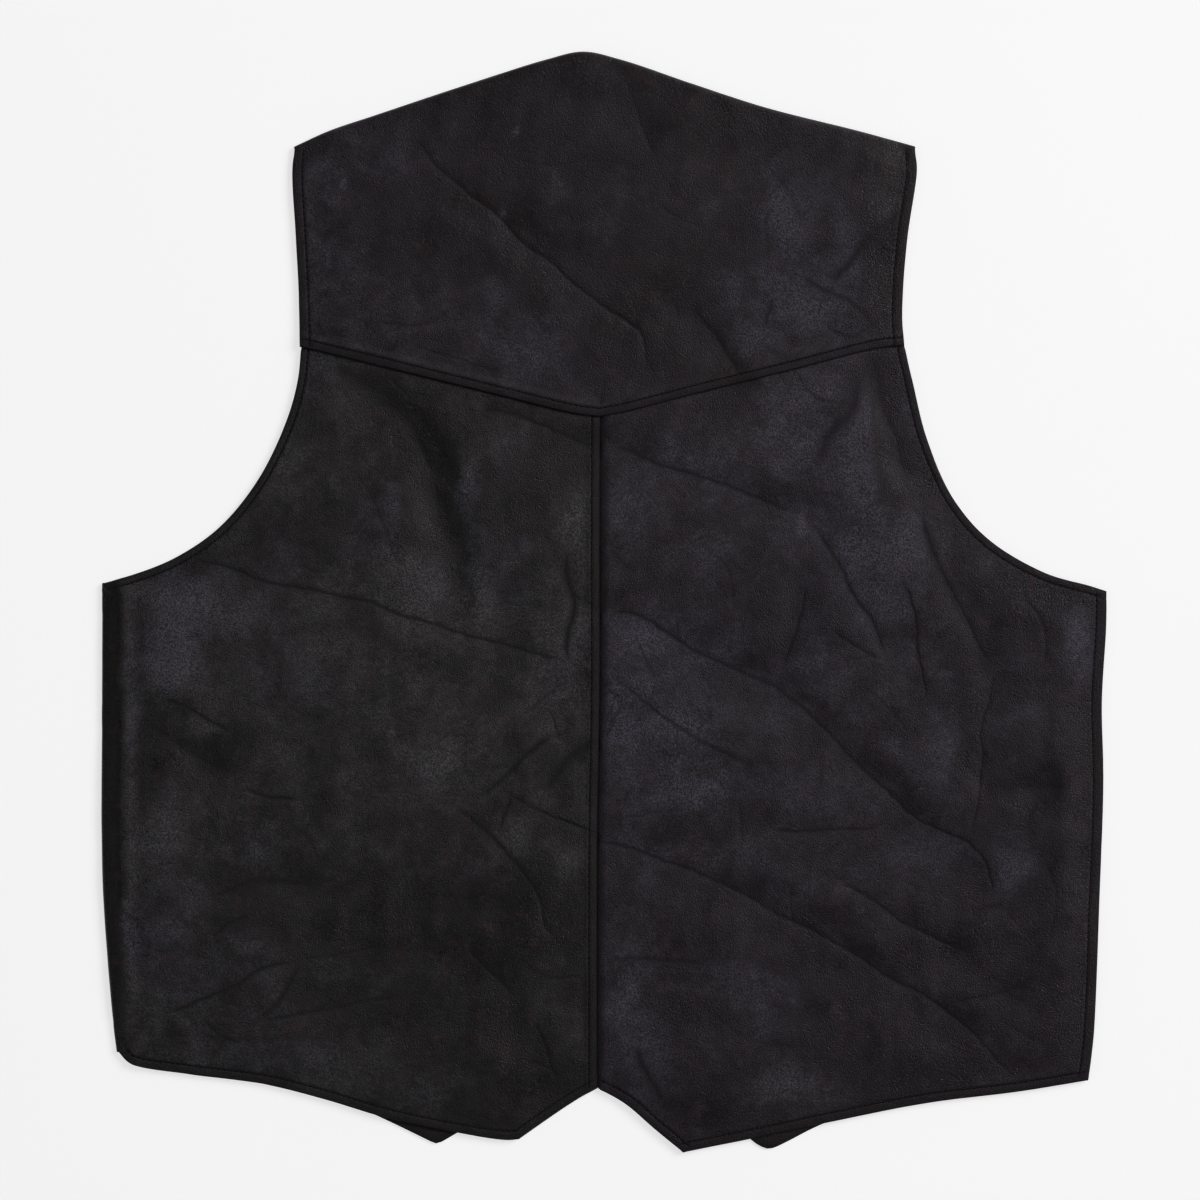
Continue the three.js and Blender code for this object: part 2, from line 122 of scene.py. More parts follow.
# Outline of the back: x, y. Each run goes left to right, or upwards, and a smooth curve joins its points.
SHOULDER_LINE = [
    (-186.8, 272.6), (-165.6, 282.2), (-137.4, 291.8), (-80.4, 310.8), (-34.8, 325.2), (-12.6, 330),
    (10.2, 325.2), (52.8, 310.8), (97.2, 296.4), (154.2, 282), (187.4, 273),
]
YOKE_LEFT = [(-182.4, 153.2), (-183, 181), (-184.8, 217.2), (-187, 258), (-186, 270.9)]
YOKE_RIGHT = [(180, 153.8), (178.8, 172), (181.8, 217.2), (187.6, 258), (186.9, 271.2)]
YOKE_SEAM_LEFT = [(-182.4, 153.2), (-123, 138.6), (-64.2, 124.2), (-18, 113), (-2.4, 111)]
YOKE_SEAM_RIGHT = [(-2.4, 111), (14, 114.2), (50.4, 123.6), (115.8, 139.8), (164, 152), (180, 153.8)]
ARMHOLE_LEFT = [
    (-299, 12), (-284.4, 15.8), (-257.4, 26.4), (-230.4, 45), (-207, 74), (-190.2, 109.2), (-183.6, 133.2),
    (-181.6, 152.7),
]
ARMHOLE_RIGHT = [
    (180.2, 153.3), (184.8, 133.2), (193.8, 97.2), (210, 61.2), (231, 37.2), (264.6, 17.4), (291.6, 9.6),
    (301.2, 6.5),
]
SIDE_LEFT = [
    (-292, -271.5), (-294, -256), (-297.8, -214), (-300.4, -176), (-301.4, -136), (-301.2, -70), (-301, 11.4),
]
SIDE_RIGHT = [
    (290.4, -286.8), (293.4, -262.8), (297, -179), (299.4, -107), (298.5, -60), (301.2, -12), (301.2, 6.5),
]
HEM_LEFT = [
    (-290, -271.5), (-284.4, -277), (-248.4, -283.2), (-203.4, -289.2), (-167.4, -298.2), (-131.4, -309),
    (-89.4, -318), (-58, -322.6), (-51, -322),
]
HEM_LEFT_NOTCH = [(-51, -322), (-32.4, -309), (-14.4, -297.2), (-4.2, -291.6)]
HEM_RIGHT_NOTCH = [(-4.2, -291.6), (12.6, -300.6), (30.6, -316.2), (47.4, -330)]
HEM_RIGHT = [(47.4, -330), (87.6, -321.9), (134.4, -312), (192.6, -300.6), (246, -294), (290.4, -286.8)]
CENTRE_SEAM = [(-4.2, -291.6), (-4, -140), (-2.7, -60), (-2.6, 40), (-2.4, 110.6)]

# Where the panels' armhole edges end, tucked under the yoke
TUCK_LEFT = (-180.9, 158)
TUCK_RIGHT = (178.9, 158.4)

# Outline of the fronts: x, y
FRONT_HEM_LEFT = [
    (-271.5, -274), (-203.4, -284), (-167.4, -294), (-140, -306.4), (-122.4, -314.6), (-104.4, -323.4),
]
FRONT_POINT_LEFT = [(-104.4, -323.4), (-100.2, -324.8), (-96.2, -323.2)]
FRONT_POINT_RIGHT = [(91.6, -325.2), (97, -327.8), (101.2, -327.6), (107.6, -324.8)]
FRONT_HEM_RIGHT = [(107.6, -324.8), (134.4, -311.8), (192.6, -296), (246, -290), (289.4, -283)]
FRONT_ARMHOLE_LEFT = [
    (-276, 6), (-258, 14), (-234, 30), (-206, 60), (-186, 98), (-173, 150), (-170, 205), (-171, 250),
]
FRONT_ARMHOLE_RIGHT = [
    (300.4, 4.5), (262, 9), (226, 30), (203, 60), (186, 98), (173, 150), (170, 205), (171, 250),
]
OPENING_LEFT = [(7.5, -262), (7.5, 8)]
OPENING_RIGHT = [(10.5, -262), (10.5, 8)]
NECK_LEFT = [(7.5, 8), (-30, 62), (-70, 140), (-90, 222)]
NECK_RIGHT = [(10.5, 8), (40, 62), (70, 140), (86, 222)]
LEFT_SIDE_STRETCH = (0.015, 0.985)
RIGHT_SIDE_STRETCH = (0.02, 0.98)
LEFT_SHOULDER_STRETCH = (0.035, 0.236)
RIGHT_SHOULDER_STRETCH = (0.754, 0.965)

# The largest folds and hollows, close to those of the solids: left and right are the half widths on the two
# sides of the run, and rise is below zero for a trough
Fold = namedtuple("Fold", "start end left right rise")
FOLDS = [
    # Yoke
    Fold((-116, 276), (22, 160), 22, 15, -1.1),
    Fold((-76, 218), (-6, 148), 12, 22, 0.9),
    Fold((-172, 158), (-86, 174), 10, 12, 1.5),
    Fold((181, 236), (142, 192), 12, 9, -1.5),
    Fold((50, 172), (84, 134), 9, 13, -1.4),
    Fold((12, 314), (34, 262), 9, 14, -0.7),
    Fold((96, 252), (160, 176), 20, 18, 0.7),
    # Left back panel
    Fold((-168, 148), (-104, 92), 13, 15, -1.9),
    Fold((-104, 104), (-86, -4), 12, 15, -2.1),
    Fold((-124, 72), (-104, -2), 12, 20, 1.7),
    Fold((-72, 78), (-74, -8), 14, 10, 1.4),
    Fold((-244, 24), (-24, -34), 20, 9, -1.6),
    Fold((-276, -64), (-224, -100), 14, 14, -1.8),
    Fold((-268, -46), (-216, -72), 12, 10, 1.4),
    Fold((-72, -116), (-28, -84), 10, 9, -1.4),
    Fold((-232, -168), (-30, -180), 18, 17, -2.1),
    Fold((-234, -240), (-126, -198), 13, 13, 1.7),
    Fold((-212, -252), (-104, -236), 10, 12, -1.2),
    Fold((-262, -8), (-262, -236), 16, 16, 1.2),
    Fold((-60, -238), (-30, -304), 14, 14, -1.4),
    # Across the centre seam
    Fold((-70, 114), (122, 51), 9, 16, -1.5),
    # Right back panel
    Fold((122, 51), (106, -42), 16, 9, -1.2),
    Fold((124, 50), (192, -60), 18, 9, -1.4),
    Fold((140, 128), (184, 2), 18, 16, 1.6),
    Fold((163, 142), (179, 80), 9, 10, -0.9),
    Fold((2, -6), (112, -54), 10, 20, -1.7),
    Fold((104, -48), (238, -180), 11, 22, -1.9),
    Fold((4, -30), (104, -96), 14, 22, 1.2),
    Fold((-2, -140), (130, -196), 12, 22, -2),
    Fold((120, -190), (248, -282), 12, 22, -1.9),
    Fold((142, -168), (240, -232), 10, 14, -1.3),
    Fold((24, -176), (118, -226), 16, 20, 1.4),
    Fold((96, -138), (172, -134), 10, 12, -1.2),
    Fold((202, 36), (232, -40), 12, 10, -1.3),
    Fold((232, -24), (222, -138), 10, 12, -1.2),
    Fold((236, -112), (272, -106), 14, 14, -1.6),
    Fold((278, -14), (276, -236), 15, 15, 1.2),
    Fold((26, -268), (44, -318), 12, 12, -1.3),
]

# Creases: a sharp valley of that depth and half width along its points, with puffed shoulders and painted
# shade in the valley
Crease = namedtuple("Crease", "depth width points")
YOKE_CREASES = [
    Crease(0.85, 1.5, [(-116, 280), (-92, 254), (-67, 233), (-50, 218), (-38, 207), (-11, 184), (19, 161),
                       (25, 147), (29, 134)]),
    Crease(0.5, 1.4, [(-142, 167), (-121, 166), (-109, 167), (-88, 176)]),
    Crease(0.5, 1.3, [(-114, 154), (-97, 148), (-68, 139), (-56, 137)]),
    Crease(0.8, 3.2, [(179, 235), (158, 218), (148, 204), (132, 189)]),
    Crease(0.6, 2.2, [(113, 197), (132, 187), (146, 181), (163, 163)]),
    Crease(0.5, 2, [(100, 182), (96, 163)]),
    Crease(0.7, 2.4, [(55, 172), (66, 160), (74, 147), (81, 136)]),
    Crease(0.5, 1.7, [(10, 315), (19, 296), (26, 279), (33, 265)]),
    Crease(0.4, 1.4, [(28, 241), (40, 233), (61, 223)]),
    Crease(0.45, 1.3, [(0.5, 134), (-1, 118)]),
    Crease(0.35, 1.6, [(-60, 268), (-30, 262), (-4, 266)]),
    Crease(0.3, 1.8, [(98, 262), (112, 246), (120, 226)]),
    Crease(0.5, 1.4, [(134, 164), (147, 159), (158, 165)]),
    Crease(0.4, 1.6, [(100, 240), (95, 226), (98, 212)]),
]
LEFT_CREASES = [
    Crease(0.7, 1.2, [(-127, 132), (-118, 124)]),
    Crease(0.6, 6, [(-166, 144), (-138, 127), (-117, 106), (-105, 80), (-97, 50)]),
    Crease(0.7, 1.4, [(-77, 117), (-49, 109), (-10, 95), (-3, 92)]),
    Crease(0.9, 1.4, [(-250, 25), (-224, 20), (-201, 13), (-166, 5), (-143, 0), (-107, -12), (-78, -21),
                      (-49, -29), (-18, -36)]),
    Crease(1, 3, [(-24, 34), (-22, 18), (-19, 2), (-22, -18), (-24, -38)]),
    Crease(0.7, 1.5, [(-266, -57), (-252, -62), (-238, -71), (-223, -80)]),
    Crease(0.8, 5.5, [(-278, -70), (-263, -81), (-244, -92), (-223, -103)]),
    Crease(0.8, 1.5, [(-218, -110), (-205, -116), (-193, -118), (-180, -118)]),
    Crease(0.9, 2.4, [(-77, -119), (-58, -103), (-43, -90), (-29, -79)]),
    Crease(0.95, 4.4, [(-40, -114), (-30, -104), (-19, -91), (-3, -81)]),
    Crease(0.5, 1.3, [(-34, -64), (-29, -77), (-27, -86)]),
    Crease(0.4, 1.3, [(-22, -46), (-41, -63), (-50, -68)]),
    Crease(0.7, 1.5, [(-63, -113), (-49, -120), (-29, -129), (-8, -139)]),
    Crease(0.85, 2, [(-63, -138), (-60, -129), (-55, -117)]),
    Crease(0.75, 2.2, [(-96, -118), (-84, -127), (-64, -144), (-50, -160), (-41, -174), (-35, -194),
                       (-25, -208)]),
    Crease(0.6, 3, [(-238, -178), (-208, -168), (-165, -170)]),
    Crease(0.65, 7, [(-134, -184), (-108, -185), (-84, -187), (-50, -182)]),
    Crease(0.7, 1.5, [(-234, -202), (-224, -193), (-213, -187)]),
    Crease(0.8, 1.5, [(-268, -246), (-244, -240), (-220, -229), (-197, -218), (-181, -214)]),
    Crease(0.6, 1.5, [(-183, -214), (-156, -211), (-131, -205)]),
    Crease(0.6, 1.6, [(-210, -252), (-185, -247), (-162, -244), (-136, -238), (-119, -234)]),
    Crease(0.6, 2.8, [(-206, -250), (-193, -234), (-181, -216)]),
    Crease(0.6, 1.5, [(-240, -250), (-230, -260), (-216, -264)]),
    Crease(0.8, 2.2, [(-83, -207), (-68, -223), (-52, -235)]),
    Crease(0.6, 1.7, [(-48, -220), (-29, -225), (-8, -224)]),
    Crease(0.7, 2.6, [(-44, -252), (-36, -268), (-30, -284)]),
    Crease(0.6, 1.5, [(-49, -275), (-35, -279), (-26, -286)]),
    Crease(0.3, 1.6, [(-231, -22), (-205, -38), (-186, -63), (-165, -72)]),
    Crease(0.35, 1.4, [(-129, -65), (-113, -76)]),
    Crease(0.3, 1.5, [(-196, -128), (-178, -140), (-170, -158)]),
    Crease(0.35, 2, [(-150, 80), (-132, 48), (-124, 20)]),
]
RIGHT_CREASES = [
    Crease(0.7, 1.4, [(-2, 93), (31, 83), (55, 77), (71, 71), (85, 64), (103, 59), (120, 53)]),
    Crease(0.75, 1.8, [(121, 12), (119, -6), (112, -24), (107, -42)]),
    Crease(0.8, 1.7, [(122, 51), (135, 30), (151, 6), (160, -10), (172, -38)]),
    Crease(0.7, 1.5, [(134, -16), (151, -26), (166, -35)]),
    Crease(0.4, 1.4, [(138, -28), (147, -39)]),
    Crease(0.9, 1.7, [(176, 18), (182, 3), (187, -20), (190, -38), (194, -62)]),
    Crease(0.85, 3, [(187, 60), (196, 36), (203, 18), (211, 0), (221, -18), (236, -42)]),
    Crease(0.75, 5.5, [(158, 152), (163, 133), (170, 107), (175, 92), (183, 72)]),
    Crease(0.5, 1.6, [(114, 138), (127, 123), (140, 119)]),
    Crease(0.6, 5, [(152, 138), (147, 116), (134, 98), (130, 78)]),
    Crease(0.95, 1.6, [(-1, -12), (11, -5), (25, -9), (37, -19), (57, -31), (81, -41), (103, -50), (119, -62),
                       (131, -76), (151, -96), (167, -112), (181, -124), (200, -136), (220, -146),
                       (230, -162), (237, -180)]),
    Crease(0.5, 1.5, [(21, -22), (31, -47)]),
    Crease(0.6, 1.6, [(2, -42), (27, -62), (39, -72), (61, -84), (77, -92), (98, -103)]),
    Crease(0.55, 1.4, [(82, -117), (81, -134), (83, -147)]),
    Crease(0.8, 1.5, [(94, -136), (119, -137), (143, -138), (161, -136), (170, -131)]),
    Crease(0.7, 1.6, [(234, -39), (229, -58), (227, -78), (226, -102), (223, -130), (220, -144)]),
    Crease(0.85, 6, [(226, -121), (248, -112), (278, -114)]),
    Crease(0.95, 1.7, [(-12, -141), (24, -151), (50, -160), (69, -168), (90, -179), (112, -191), (135, -204),
                       (158, -217), (180, -229), (200, -241), (220, -259), (247, -288)]),
    Crease(0.7, 1.6, [(136, -162), (161, -179), (183, -194), (202, -204), (220, -213)]),
    Crease(0.4, 1.3, [(112, -169), (113, -196)]),
    Crease(0.7, 2.6, [(218, -189), (229, -184), (242, -182)]),
    Crease(0.7, 2.2, [(205, -241), (230, -234), (256, -230)]),
    Crease(0.5, 1.6, [(241, -253), (261, -263)]),
    Crease(0.6, 1.8, [(2, -213), (31, -214), (61, -217)]),
    Crease(0.8, 3.4, [(16, -264), (27, -286), (34, -304)]),
    Crease(0.5, 1.5, [(-1, -86), (7, -67)]),
    Crease(0.5, 3.4, [(4, 31), (18, 17)]),
    Crease(0.4, 1.5, [(154, -48), (171, -64), (182, -80)]),
    Crease(0.35, 1.6, [(60, 34), (74, 18), (78, -2)]),
    Crease(0.3, 1.6, [(262, -150), (270, -176), (268, -204)]),
    Crease(0.35, 1.8, [(60, -246), (88, -262), (124, -268)]),
    Crease(0.45, 1.7, [(250, 6), (262, -14), (264, -40)]),
]
LEFT_FRONT_CREASES = [
    Crease(0.5, 3, [(-250, -40), (-190, -74), (-120, -92)]),
    Crease(0.45, 2.4, [(-30, -30), (-84, -58), (-128, -110)]),
    Crease(0.5, 2.6, [(-230, -190), (-170, -172), (-96, -196), (-50, -240)]),
    Crease(0.4, 2.2, [(-160, 190), (-120, 160), (-96, 110)]),
    Crease(0.4, 2, [(-190, -6), (-150, 30), (-96, 44)]),
]
RIGHT_FRONT_CREASES = [
    Crease(0.5, 2.8, [(40, -60), (98, -82), (150, -140), (178, -196)]),
    Crease(0.45, 2.4, [(262, -30), (214, -64), (190, -120)]),
    Crease(0.5, 2.4, [(60, -236), (118, -214), (196, -240)]),
    Crease(0.4, 2.2, [(84, 176), (126, 150), (160, 96)]),
    Crease(0.4, 2, [(70, 26), (120, 10), (176, 34)]),
]

# Patches that are paler where amount is above zero, partly from wear and partly a painted highlight, and
# darker where it is below zero, partly smooth wear and partly painted shade
Patch = namedtuple("Patch", "x y across up amount")
WEAR_AND_PAINTED_LIGHT = [Patch(*row) for row in (
    # Yoke
    (106, 228, 14, 19, 1.1), (118, 182, 26, 18, 0.7), (140, 160, 22, 12, 0.35),
    (150, 206, 10, 20, 0.55), (170, 218, 14, 58, -1.9), (168, 252, 12, 16, -1.5),
    (78, 190, 10, 14, 0.4), (-42, 152, 18, 18, 0.7), (-66, 168, 14, 12, 0.3),
    (-166, 206, 16, 50, 0.4), (-84, 226, 44, 22, -1.3), (-30, 186, 18, 12, -1.0),
    (6, 166, 12, 18, -1.4), (-2, 318, 100, 14, -1.9), (-45, 207, 20, 14, -1.4),
    (-68, 188, 12, 10, 0.8), (-62, 233, 2.2, 2.5, 2.2), (-52, 283, 2.4, 2.4, 2.2),
    (-156, 250, 2.4, 4, 1.5), (88, 160, 18, 14, 0.8), (-70, 292, 60, 20, -0.4),
    (60, 282, 50, 20, -0.7), (40, 190, 34, 44, -0.5), (80, 222, 12, 20, -0.3),
    # Left back panel
    (-248, 2, 20, 10, 1.4), (-260, -30, 13, 20, 1.9), (-284, -90, 5, 200, 0.75),
    (-258, -196, 10, 10, 0.5), (-224, -4, 24, 14, 0.4), (-240, -76, 14, 10, 0.8),
    (-264, -140, 16, 50, 0.5), (-268, -214, 14, 40, 0.1), (-110, 10, 16, 24, 1.3),
    (-18, 44, 12, 26, 0.7), (-46, 118, 20, 6, -0.8), (-150, 20, 36, 22, 0.4),
    (-168, -50, 60, 36, 0.35), (-92, -76, 34, 26, 0.4), (-212, -149, 34, 12, 0.35),
    (-200, -242, 14, 12, 0.4), (-30, -62, 18, 34, 0.6), (-50, -141, 11, 12, 0.55),
    (-24, -154, 10, 12, 0.5), (-22, -16, 14, 20, 0.9), (-104, -100, 22, 14, 0.8),
    (-212, -100, 20, 14, 0.6), (-127, -79, 2.2, 2.2, 1.6), (-248, -268, 22, 10, 0.45),
    (-164, -270, 20, 10, 0.6), (-188, 84, 14, 20, 0.6), (-166, 44, 16, 14, -0.4),
    (-137, 86, 7, 16, 0.6), (-127, 62, 7, 18, 0.8), (-82, 72, 6, 18, 0.8),
    (-74, 4, 7, 20, 0.9), (-152, -292, 24, 10, 0.4), (-119, 100, 17, 22, -1.7),
    (-101, 58, 12, 34, -1.1), (-58, 56, 16, 12, -0.7), (-57, 98, 9, 8, 0.4),
    (-42, 76, 16, 12, -0.4), (-68, -4, 12, 12, 0.4), (-78, -193, 46, 15, -2.8),
    (-138, -194, 50, 10, -1.4), (-76, -222, 22, 12, -0.8), (-66, -246, 14, 10, -0.6),
    (-250, -92, 28, 15, -1.5), (-190, -172, 44, 10, -0.3), (-214, -205, 26, 10, 0.3),
    (-140, -248, 60, 12, -0.5), (-32, 96, 14, 14, -0.4), (-92, -268, 18, 12, -0.7),
    (-52, -288, 24, 20, -1.0), (-296, -120, 7, 260, -1.6),
    # Right back panel
    (156, 74, 14, 30, 0.8), (130, 130, 14, 9, 0.8), (155, 118, 6, 14, 0.8),
    (181, 108, 5, 20, 0.7), (136, 98, 24, 16, 0.9), (110, 118, 16, 14, 0.7),
    (132, 54, 16, 18, 0.35), (190, -34, 16, 12, 0.35), (118, 45, 1.8, 6, 1.6),
    (8, 54, 14, 20, 0.7), (76, -26, 14, 10, 0.5), (124, -40, 18, 18, 0.5),
    (172, -4, 14, 14, 0.7), (50, -78, 30, 12, 0.6), (246, -160, 14, 18, 1.0),
    (126, -172, 18, 10, 0.6), (252, 30, 14, 12, 0.4), (108, 90, 20, 18, 0.3),
    (60, 84, 44, 14, 0.5), (64, 30, 26, 14, 0.6), (177, 40, 14, 28, 1.2),
    (150, 28, 14, 16, 0.9), (204, 44, 10, 14, 0.35), (285, -22, 8, 22, 1.4),
    (28, -52, 14, 10, 0.4), (78, 64, 16, 10, 0.3), (218, -122, 10, 14, 0.4),
    (100, -244, 12, 20, 0.3), (180, -246, 12, 20, 0.2), (24, -22, 20, 12, 0.9),
    (38, -74, 20, 12, 0.8), (8, -76, 12, 30, 0.7), (70, -36, 30, 14, 0.2),
    (44, -112, 40, 16, 0.6), (132, -112, 30, 16, 0.4), (198, -90, 14, 18, 0.7),
    (186, -150, 24, 16, 0.3), (12, -236, 12, 40, 0.7), (28, -270, 12, 14, 0.5),
    (112, -290, 26, 12, 0.9), (52, -150, 40, 10, 0.3), (84, -226, 22, 14, 0.4),
    (68, 138, 22, 8, -0.6), (220, -60, 7, 60, -0.7), (222, -182, 12, 26, -0.6),
    (254, -114, 24, 9, -1.7), (292, -160, 9, 140, -0.7), (266, 9, 32, 11, -1.5),
    (250, -8, 16, 12, -0.8), (222, -244, 12, 12, -0.7), (172, 90, 9, 34, -2.4),
    (190, 72, 10, 14, -0.8), (244, -126, 14, 12, -0.6), (130, -211, 24, 16, -1.1),
    (200, 92, 8, 18, -0.9), (66, -300, 20, 18, -0.6), (52, -246, 16, 12, -0.7),
    (196, -284, 46, 16, -0.5), (160, -268, 24, 12, -0.6), (66, -188, 24, 10, -0.5),
    (110, -194, 24, 12, -0.8), (150, -242, 24, 12, -0.7), (200, -208, 50, 14, -0.7),
    (270, -234, 26, 22, -0.8), (276, -160, 20, 40, -0.5), (100, -28, 26, 12, -0.4),
    (12, 8, 20, 12, -0.4),
)]

# Where the finish has a bluish cast
BLUISH = [Patch(*row) for row in (
    (-258, -10, 22, 36, 1.0), (-266, -190, 22, 90, 0.8), (-120, 60, 30, 34, 0.5),
    (-78, -160, 22, 18, 0.9), (-56, 10, 12, 26, 0.7), (-24, -92, 10, 10, 0.7),
    (-52, 78, 24, 26, 0.5), (286, -24, 8, 30, 0.8), (-196, 40, 20, 20, 0.5),
    (-140, 220, 60, 50, 0.5), (-40, 160, 30, 30, 0.6), (130, 195, 44, 40, 1.0),
    (150, 50, 44, 60, 0.9), (90, -10, 60, 40, 0.5), (20, -50, 30, 50, 0.9),
    (60, -130, 70, 40, 0.5), (20, -250, 30, 50, 0.7), (200, -150, 60, 60, 0.4),
)]

# Unevenness of the hide as it lies: the size of its swells and their height
Swell = namedtuple("Swell", "size height seed")
SWELLS = [Swell(75, 0.32, 3), Swell(30, 0.17, 5), Swell(13, 0.06, 8)]

# The same for how far creases and patches stray from the points that place them
WANDER = Swell(38, 0.8, 11)
JITTER = Swell(7, 0.17, 23)


def smooth(value):
    """0 below 0, 1 above 1, and a soft step between."""
    part = np.clip(value, 0, 1)
    return part * part * (3 - 2 * part)


# Curves are functions of the share of their length, from 0 to 1

def through(line):
    """A curve along a fine line of points."""
    steps = np.linalg.norm(np.diff(line, axis=0), axis=1)
    reach = np.concatenate([[0], np.cumsum(steps)]) / steps.sum()
    return lambda share: np.stack([np.interp(share, reach, line[:, axis]) for axis in (0, 1)], axis=-1)


def curve_through(table):
    """A smooth curve through a table of points."""
    points = np.array(table, float)
    ring = np.vstack([2 * points[0] - points[1], points, 2 * points[-1] - points[-2]])
    t = np.linspace(0, 1, CURVE_STEPS, endpoint=False)[:, None]
    stretches = []
    for before, start, end, after in zip(ring, ring[1:], ring[2:], ring[3:]):
        sides = ((before, start), (start, end), (end, after))
        first, middle, last = (math.dist(a, b) ** 0.5 for a, b in sides)
        lead = (start - before) / first - (end - before) / (first + middle) + (end - start) / middle
        trail = (end - start) / middle - (after - start) / (middle + last) + (after - end) / last
        turn = (t**3 - 2 * t**2 + t) * lead + (t**3 - t**2) * trail
        stretches.append((2 * t**3 - 3 * t**2 + 1) * start + (3 * t**2 - 2 * t**3) * end + turn * middle)
    return through(np.vstack([*stretches, points[-1:]]))


def sampled(curve, spacing=None, steps=None):
    """Points along a curve, at a spacing in millimetres or in a number of steps."""
    if steps is None:
        fine = curve(np.linspace(0, 1, 200))
        steps = max(2, round(np.linalg.norm(np.diff(fine, axis=0), axis=1).sum() / spacing))
    return curve(np.linspace(0, 1, steps + 1))


def joined(*curves):
    """Curves end to end as one."""
    return through(np.vstack([sampled(curve, spacing=1) for curve in curves]))


def cornered(first, second, corner):
    """Two curves as one, with the corner between them at a given share."""
    def at(share):
        share = np.asarray(share, float)
        before = (share <= corner)[..., None]
        return np.where(before, first(share / corner), second((share - corner) / (1 - corner)))
    return at


def stretch(curve, shares):
    """Part of a curve."""
    return lambda share: curve(shares[0] + (shares[1] - shares[0]) * np.asarray(share, float))


def left_of(curve, share):
    """The level direction to the left of a curve."""
    share = np.clip(share, 0, 1)
    run = curve(share + 0.01) - curve(share - 0.01)
    return np.stack([-run[..., 1], run[..., 0]], axis=-1) / np.linalg.norm(run, axis=-1)[..., None]


def moved_left(curve, distance):
    """The same curve moved sideways."""
    return lambda share: curve(share) + left_of(curve, share) * np.asarray(distance)


def pinned(curve, start, end):
    """The same curve with its ends brought to two points, within a short stretch of each."""
    reach = 30
    def at(share):
        part = np.asarray(share, float)[..., None]
        return curve(share) + (start - curve(0)) * (1 - part) ** reach + (end - curve(1)) * part**reach
    return at


def crossing(first, first_share, second, second_share):
    """Where two curves' end directions cross."""
    near = 0.02
    a, b = first(first_share), second(second_share)
    a_run = a - first(abs(first_share - near))
    b_run = b - second(abs(second_share - near))
    turn = a_run[0] * b_run[1] - a_run[1] * b_run[0]
    gap = b - a
    return a + a_run * (gap[0] * b_run[1] - gap[1] * b_run[0]) / turn


def distance_to(line, points, within):
    """Distance from each point to a line of points, and the share of the line where it is nearest.

    Points that are further away than asked for are infinitely far.
    """
    batch = 6
    least = np.full(len(points), np.inf)
    place = np.zeros(len(points))
    count = len(line) - 1
    for first in range(0, count, batch):
        bends = line[first : first + batch + 1]
        inside = np.all((points > bends.min(0) - within) & (points < bends.max(0) + within), axis=1)
        close = np.nonzero(inside)[0]
        for index, (start, end) in enumerate(zip(bends, bends[1:]), first):
            run = end - start
            away = points[close] - start
            part = np.clip(away @ run / (run @ run), 0, 1)
            gap = np.hypot(away[:, 0] - part * run[0], away[:, 1] - part * run[1])
            nearer = gap < least[close]
            least[close[nearer]] = gap[nearer]
            place[close[nearer]] = (index + part[nearer]) / count
    return least, place


def nearest(lines, points, within):
    """Distance from each point to the nearest of some lines."""
    return np.min([distance_to(line, points, within)[0] for line in lines], axis=0)


EDGES = {
    "shoulder": curve_through(SHOULDER_LINE),
    "yoke left": curve_through(YOKE_LEFT),
    "yoke right": curve_through(YOKE_RIGHT),
    "seam left": curve_through(YOKE_SEAM_LEFT),
    "seam right": curve_through(YOKE_SEAM_RIGHT),
    "armhole left": curve_through(ARMHOLE_LEFT),
    "armhole right": curve_through(ARMHOLE_RIGHT),
    "side left": curve_through(SIDE_LEFT),
    "side right": curve_through(SIDE_RIGHT),
    "hem left": curve_through(HEM_LEFT),
    "notch left": curve_through(HEM_LEFT_NOTCH),
    "notch right": curve_through(HEM_RIGHT_NOTCH),
    "hem right": curve_through(HEM_RIGHT),
    "centre": curve_through(CENTRE_SEAM),
}
LINES = {name: sampled(curve, steps=36) for name, curve in EDGES.items()}
FREE_EDGES = [
    LINES[name]
    for name in ("yoke left", "yoke right", "armhole left", "armhole right", "side right", "hem left",
                 "notch left", "notch right", "hem right")
]
YOKE_SEAM = np.vstack([LINES["seam left"], LINES["seam right"][1:]])


def waves(points, swell, turn=0):
    """A smooth uneven field of about unit height, made of crossing waves near one size."""
    count = 16
    random = np.random.default_rng(swell.seed + turn)
    total = np.zeros(len(points))
    for _ in range(count):
        angle, phase = random.uniform(0, 2 * math.pi, 2)
        pitch = swell.size * random.uniform(0.7, 1.9)
        along = points @ np.array([math.cos(angle), math.sin(angle)])
        total += np.sin(along * 2 * math.pi / pitch + phase)
    return total * swell.height / math.sqrt(count / 2)


def wandered(points):
    """Points moved a little to and fro, so that what is placed by them runs unevenly."""
    shifts = [waves(points, WANDER, turn) + waves(points, JITTER, turn) for turn in (0, 1)]
    return points + np.stack(shifts, axis=1)


def fold_rise(fold, points):
    """A fold's rise: bell shaped across its run, and fading out at both ends."""
    at_ends, more_in_middle = 0.55, 0.45
    start = np.array(fold.start, float)
    run = np.array(fold.end, float) - start
    length = np.linalg.norm(run)
    away = points - start
    along = away @ run / length**2
    across = (run[0] * away[:, 1] - run[1] * away[:, 0]) / length
    overshoot = np.maximum(0, np.maximum(-along, along - 1)) * length
    reach = np.hypot(across, overshoot) / np.where(across > 0, fold.left, fold.right)
    middle = at_ends + more_in_middle * np.sin(math.pi * np.clip(along, 0, 1))
    return fold.rise * middle * np.exp(-reach**2)


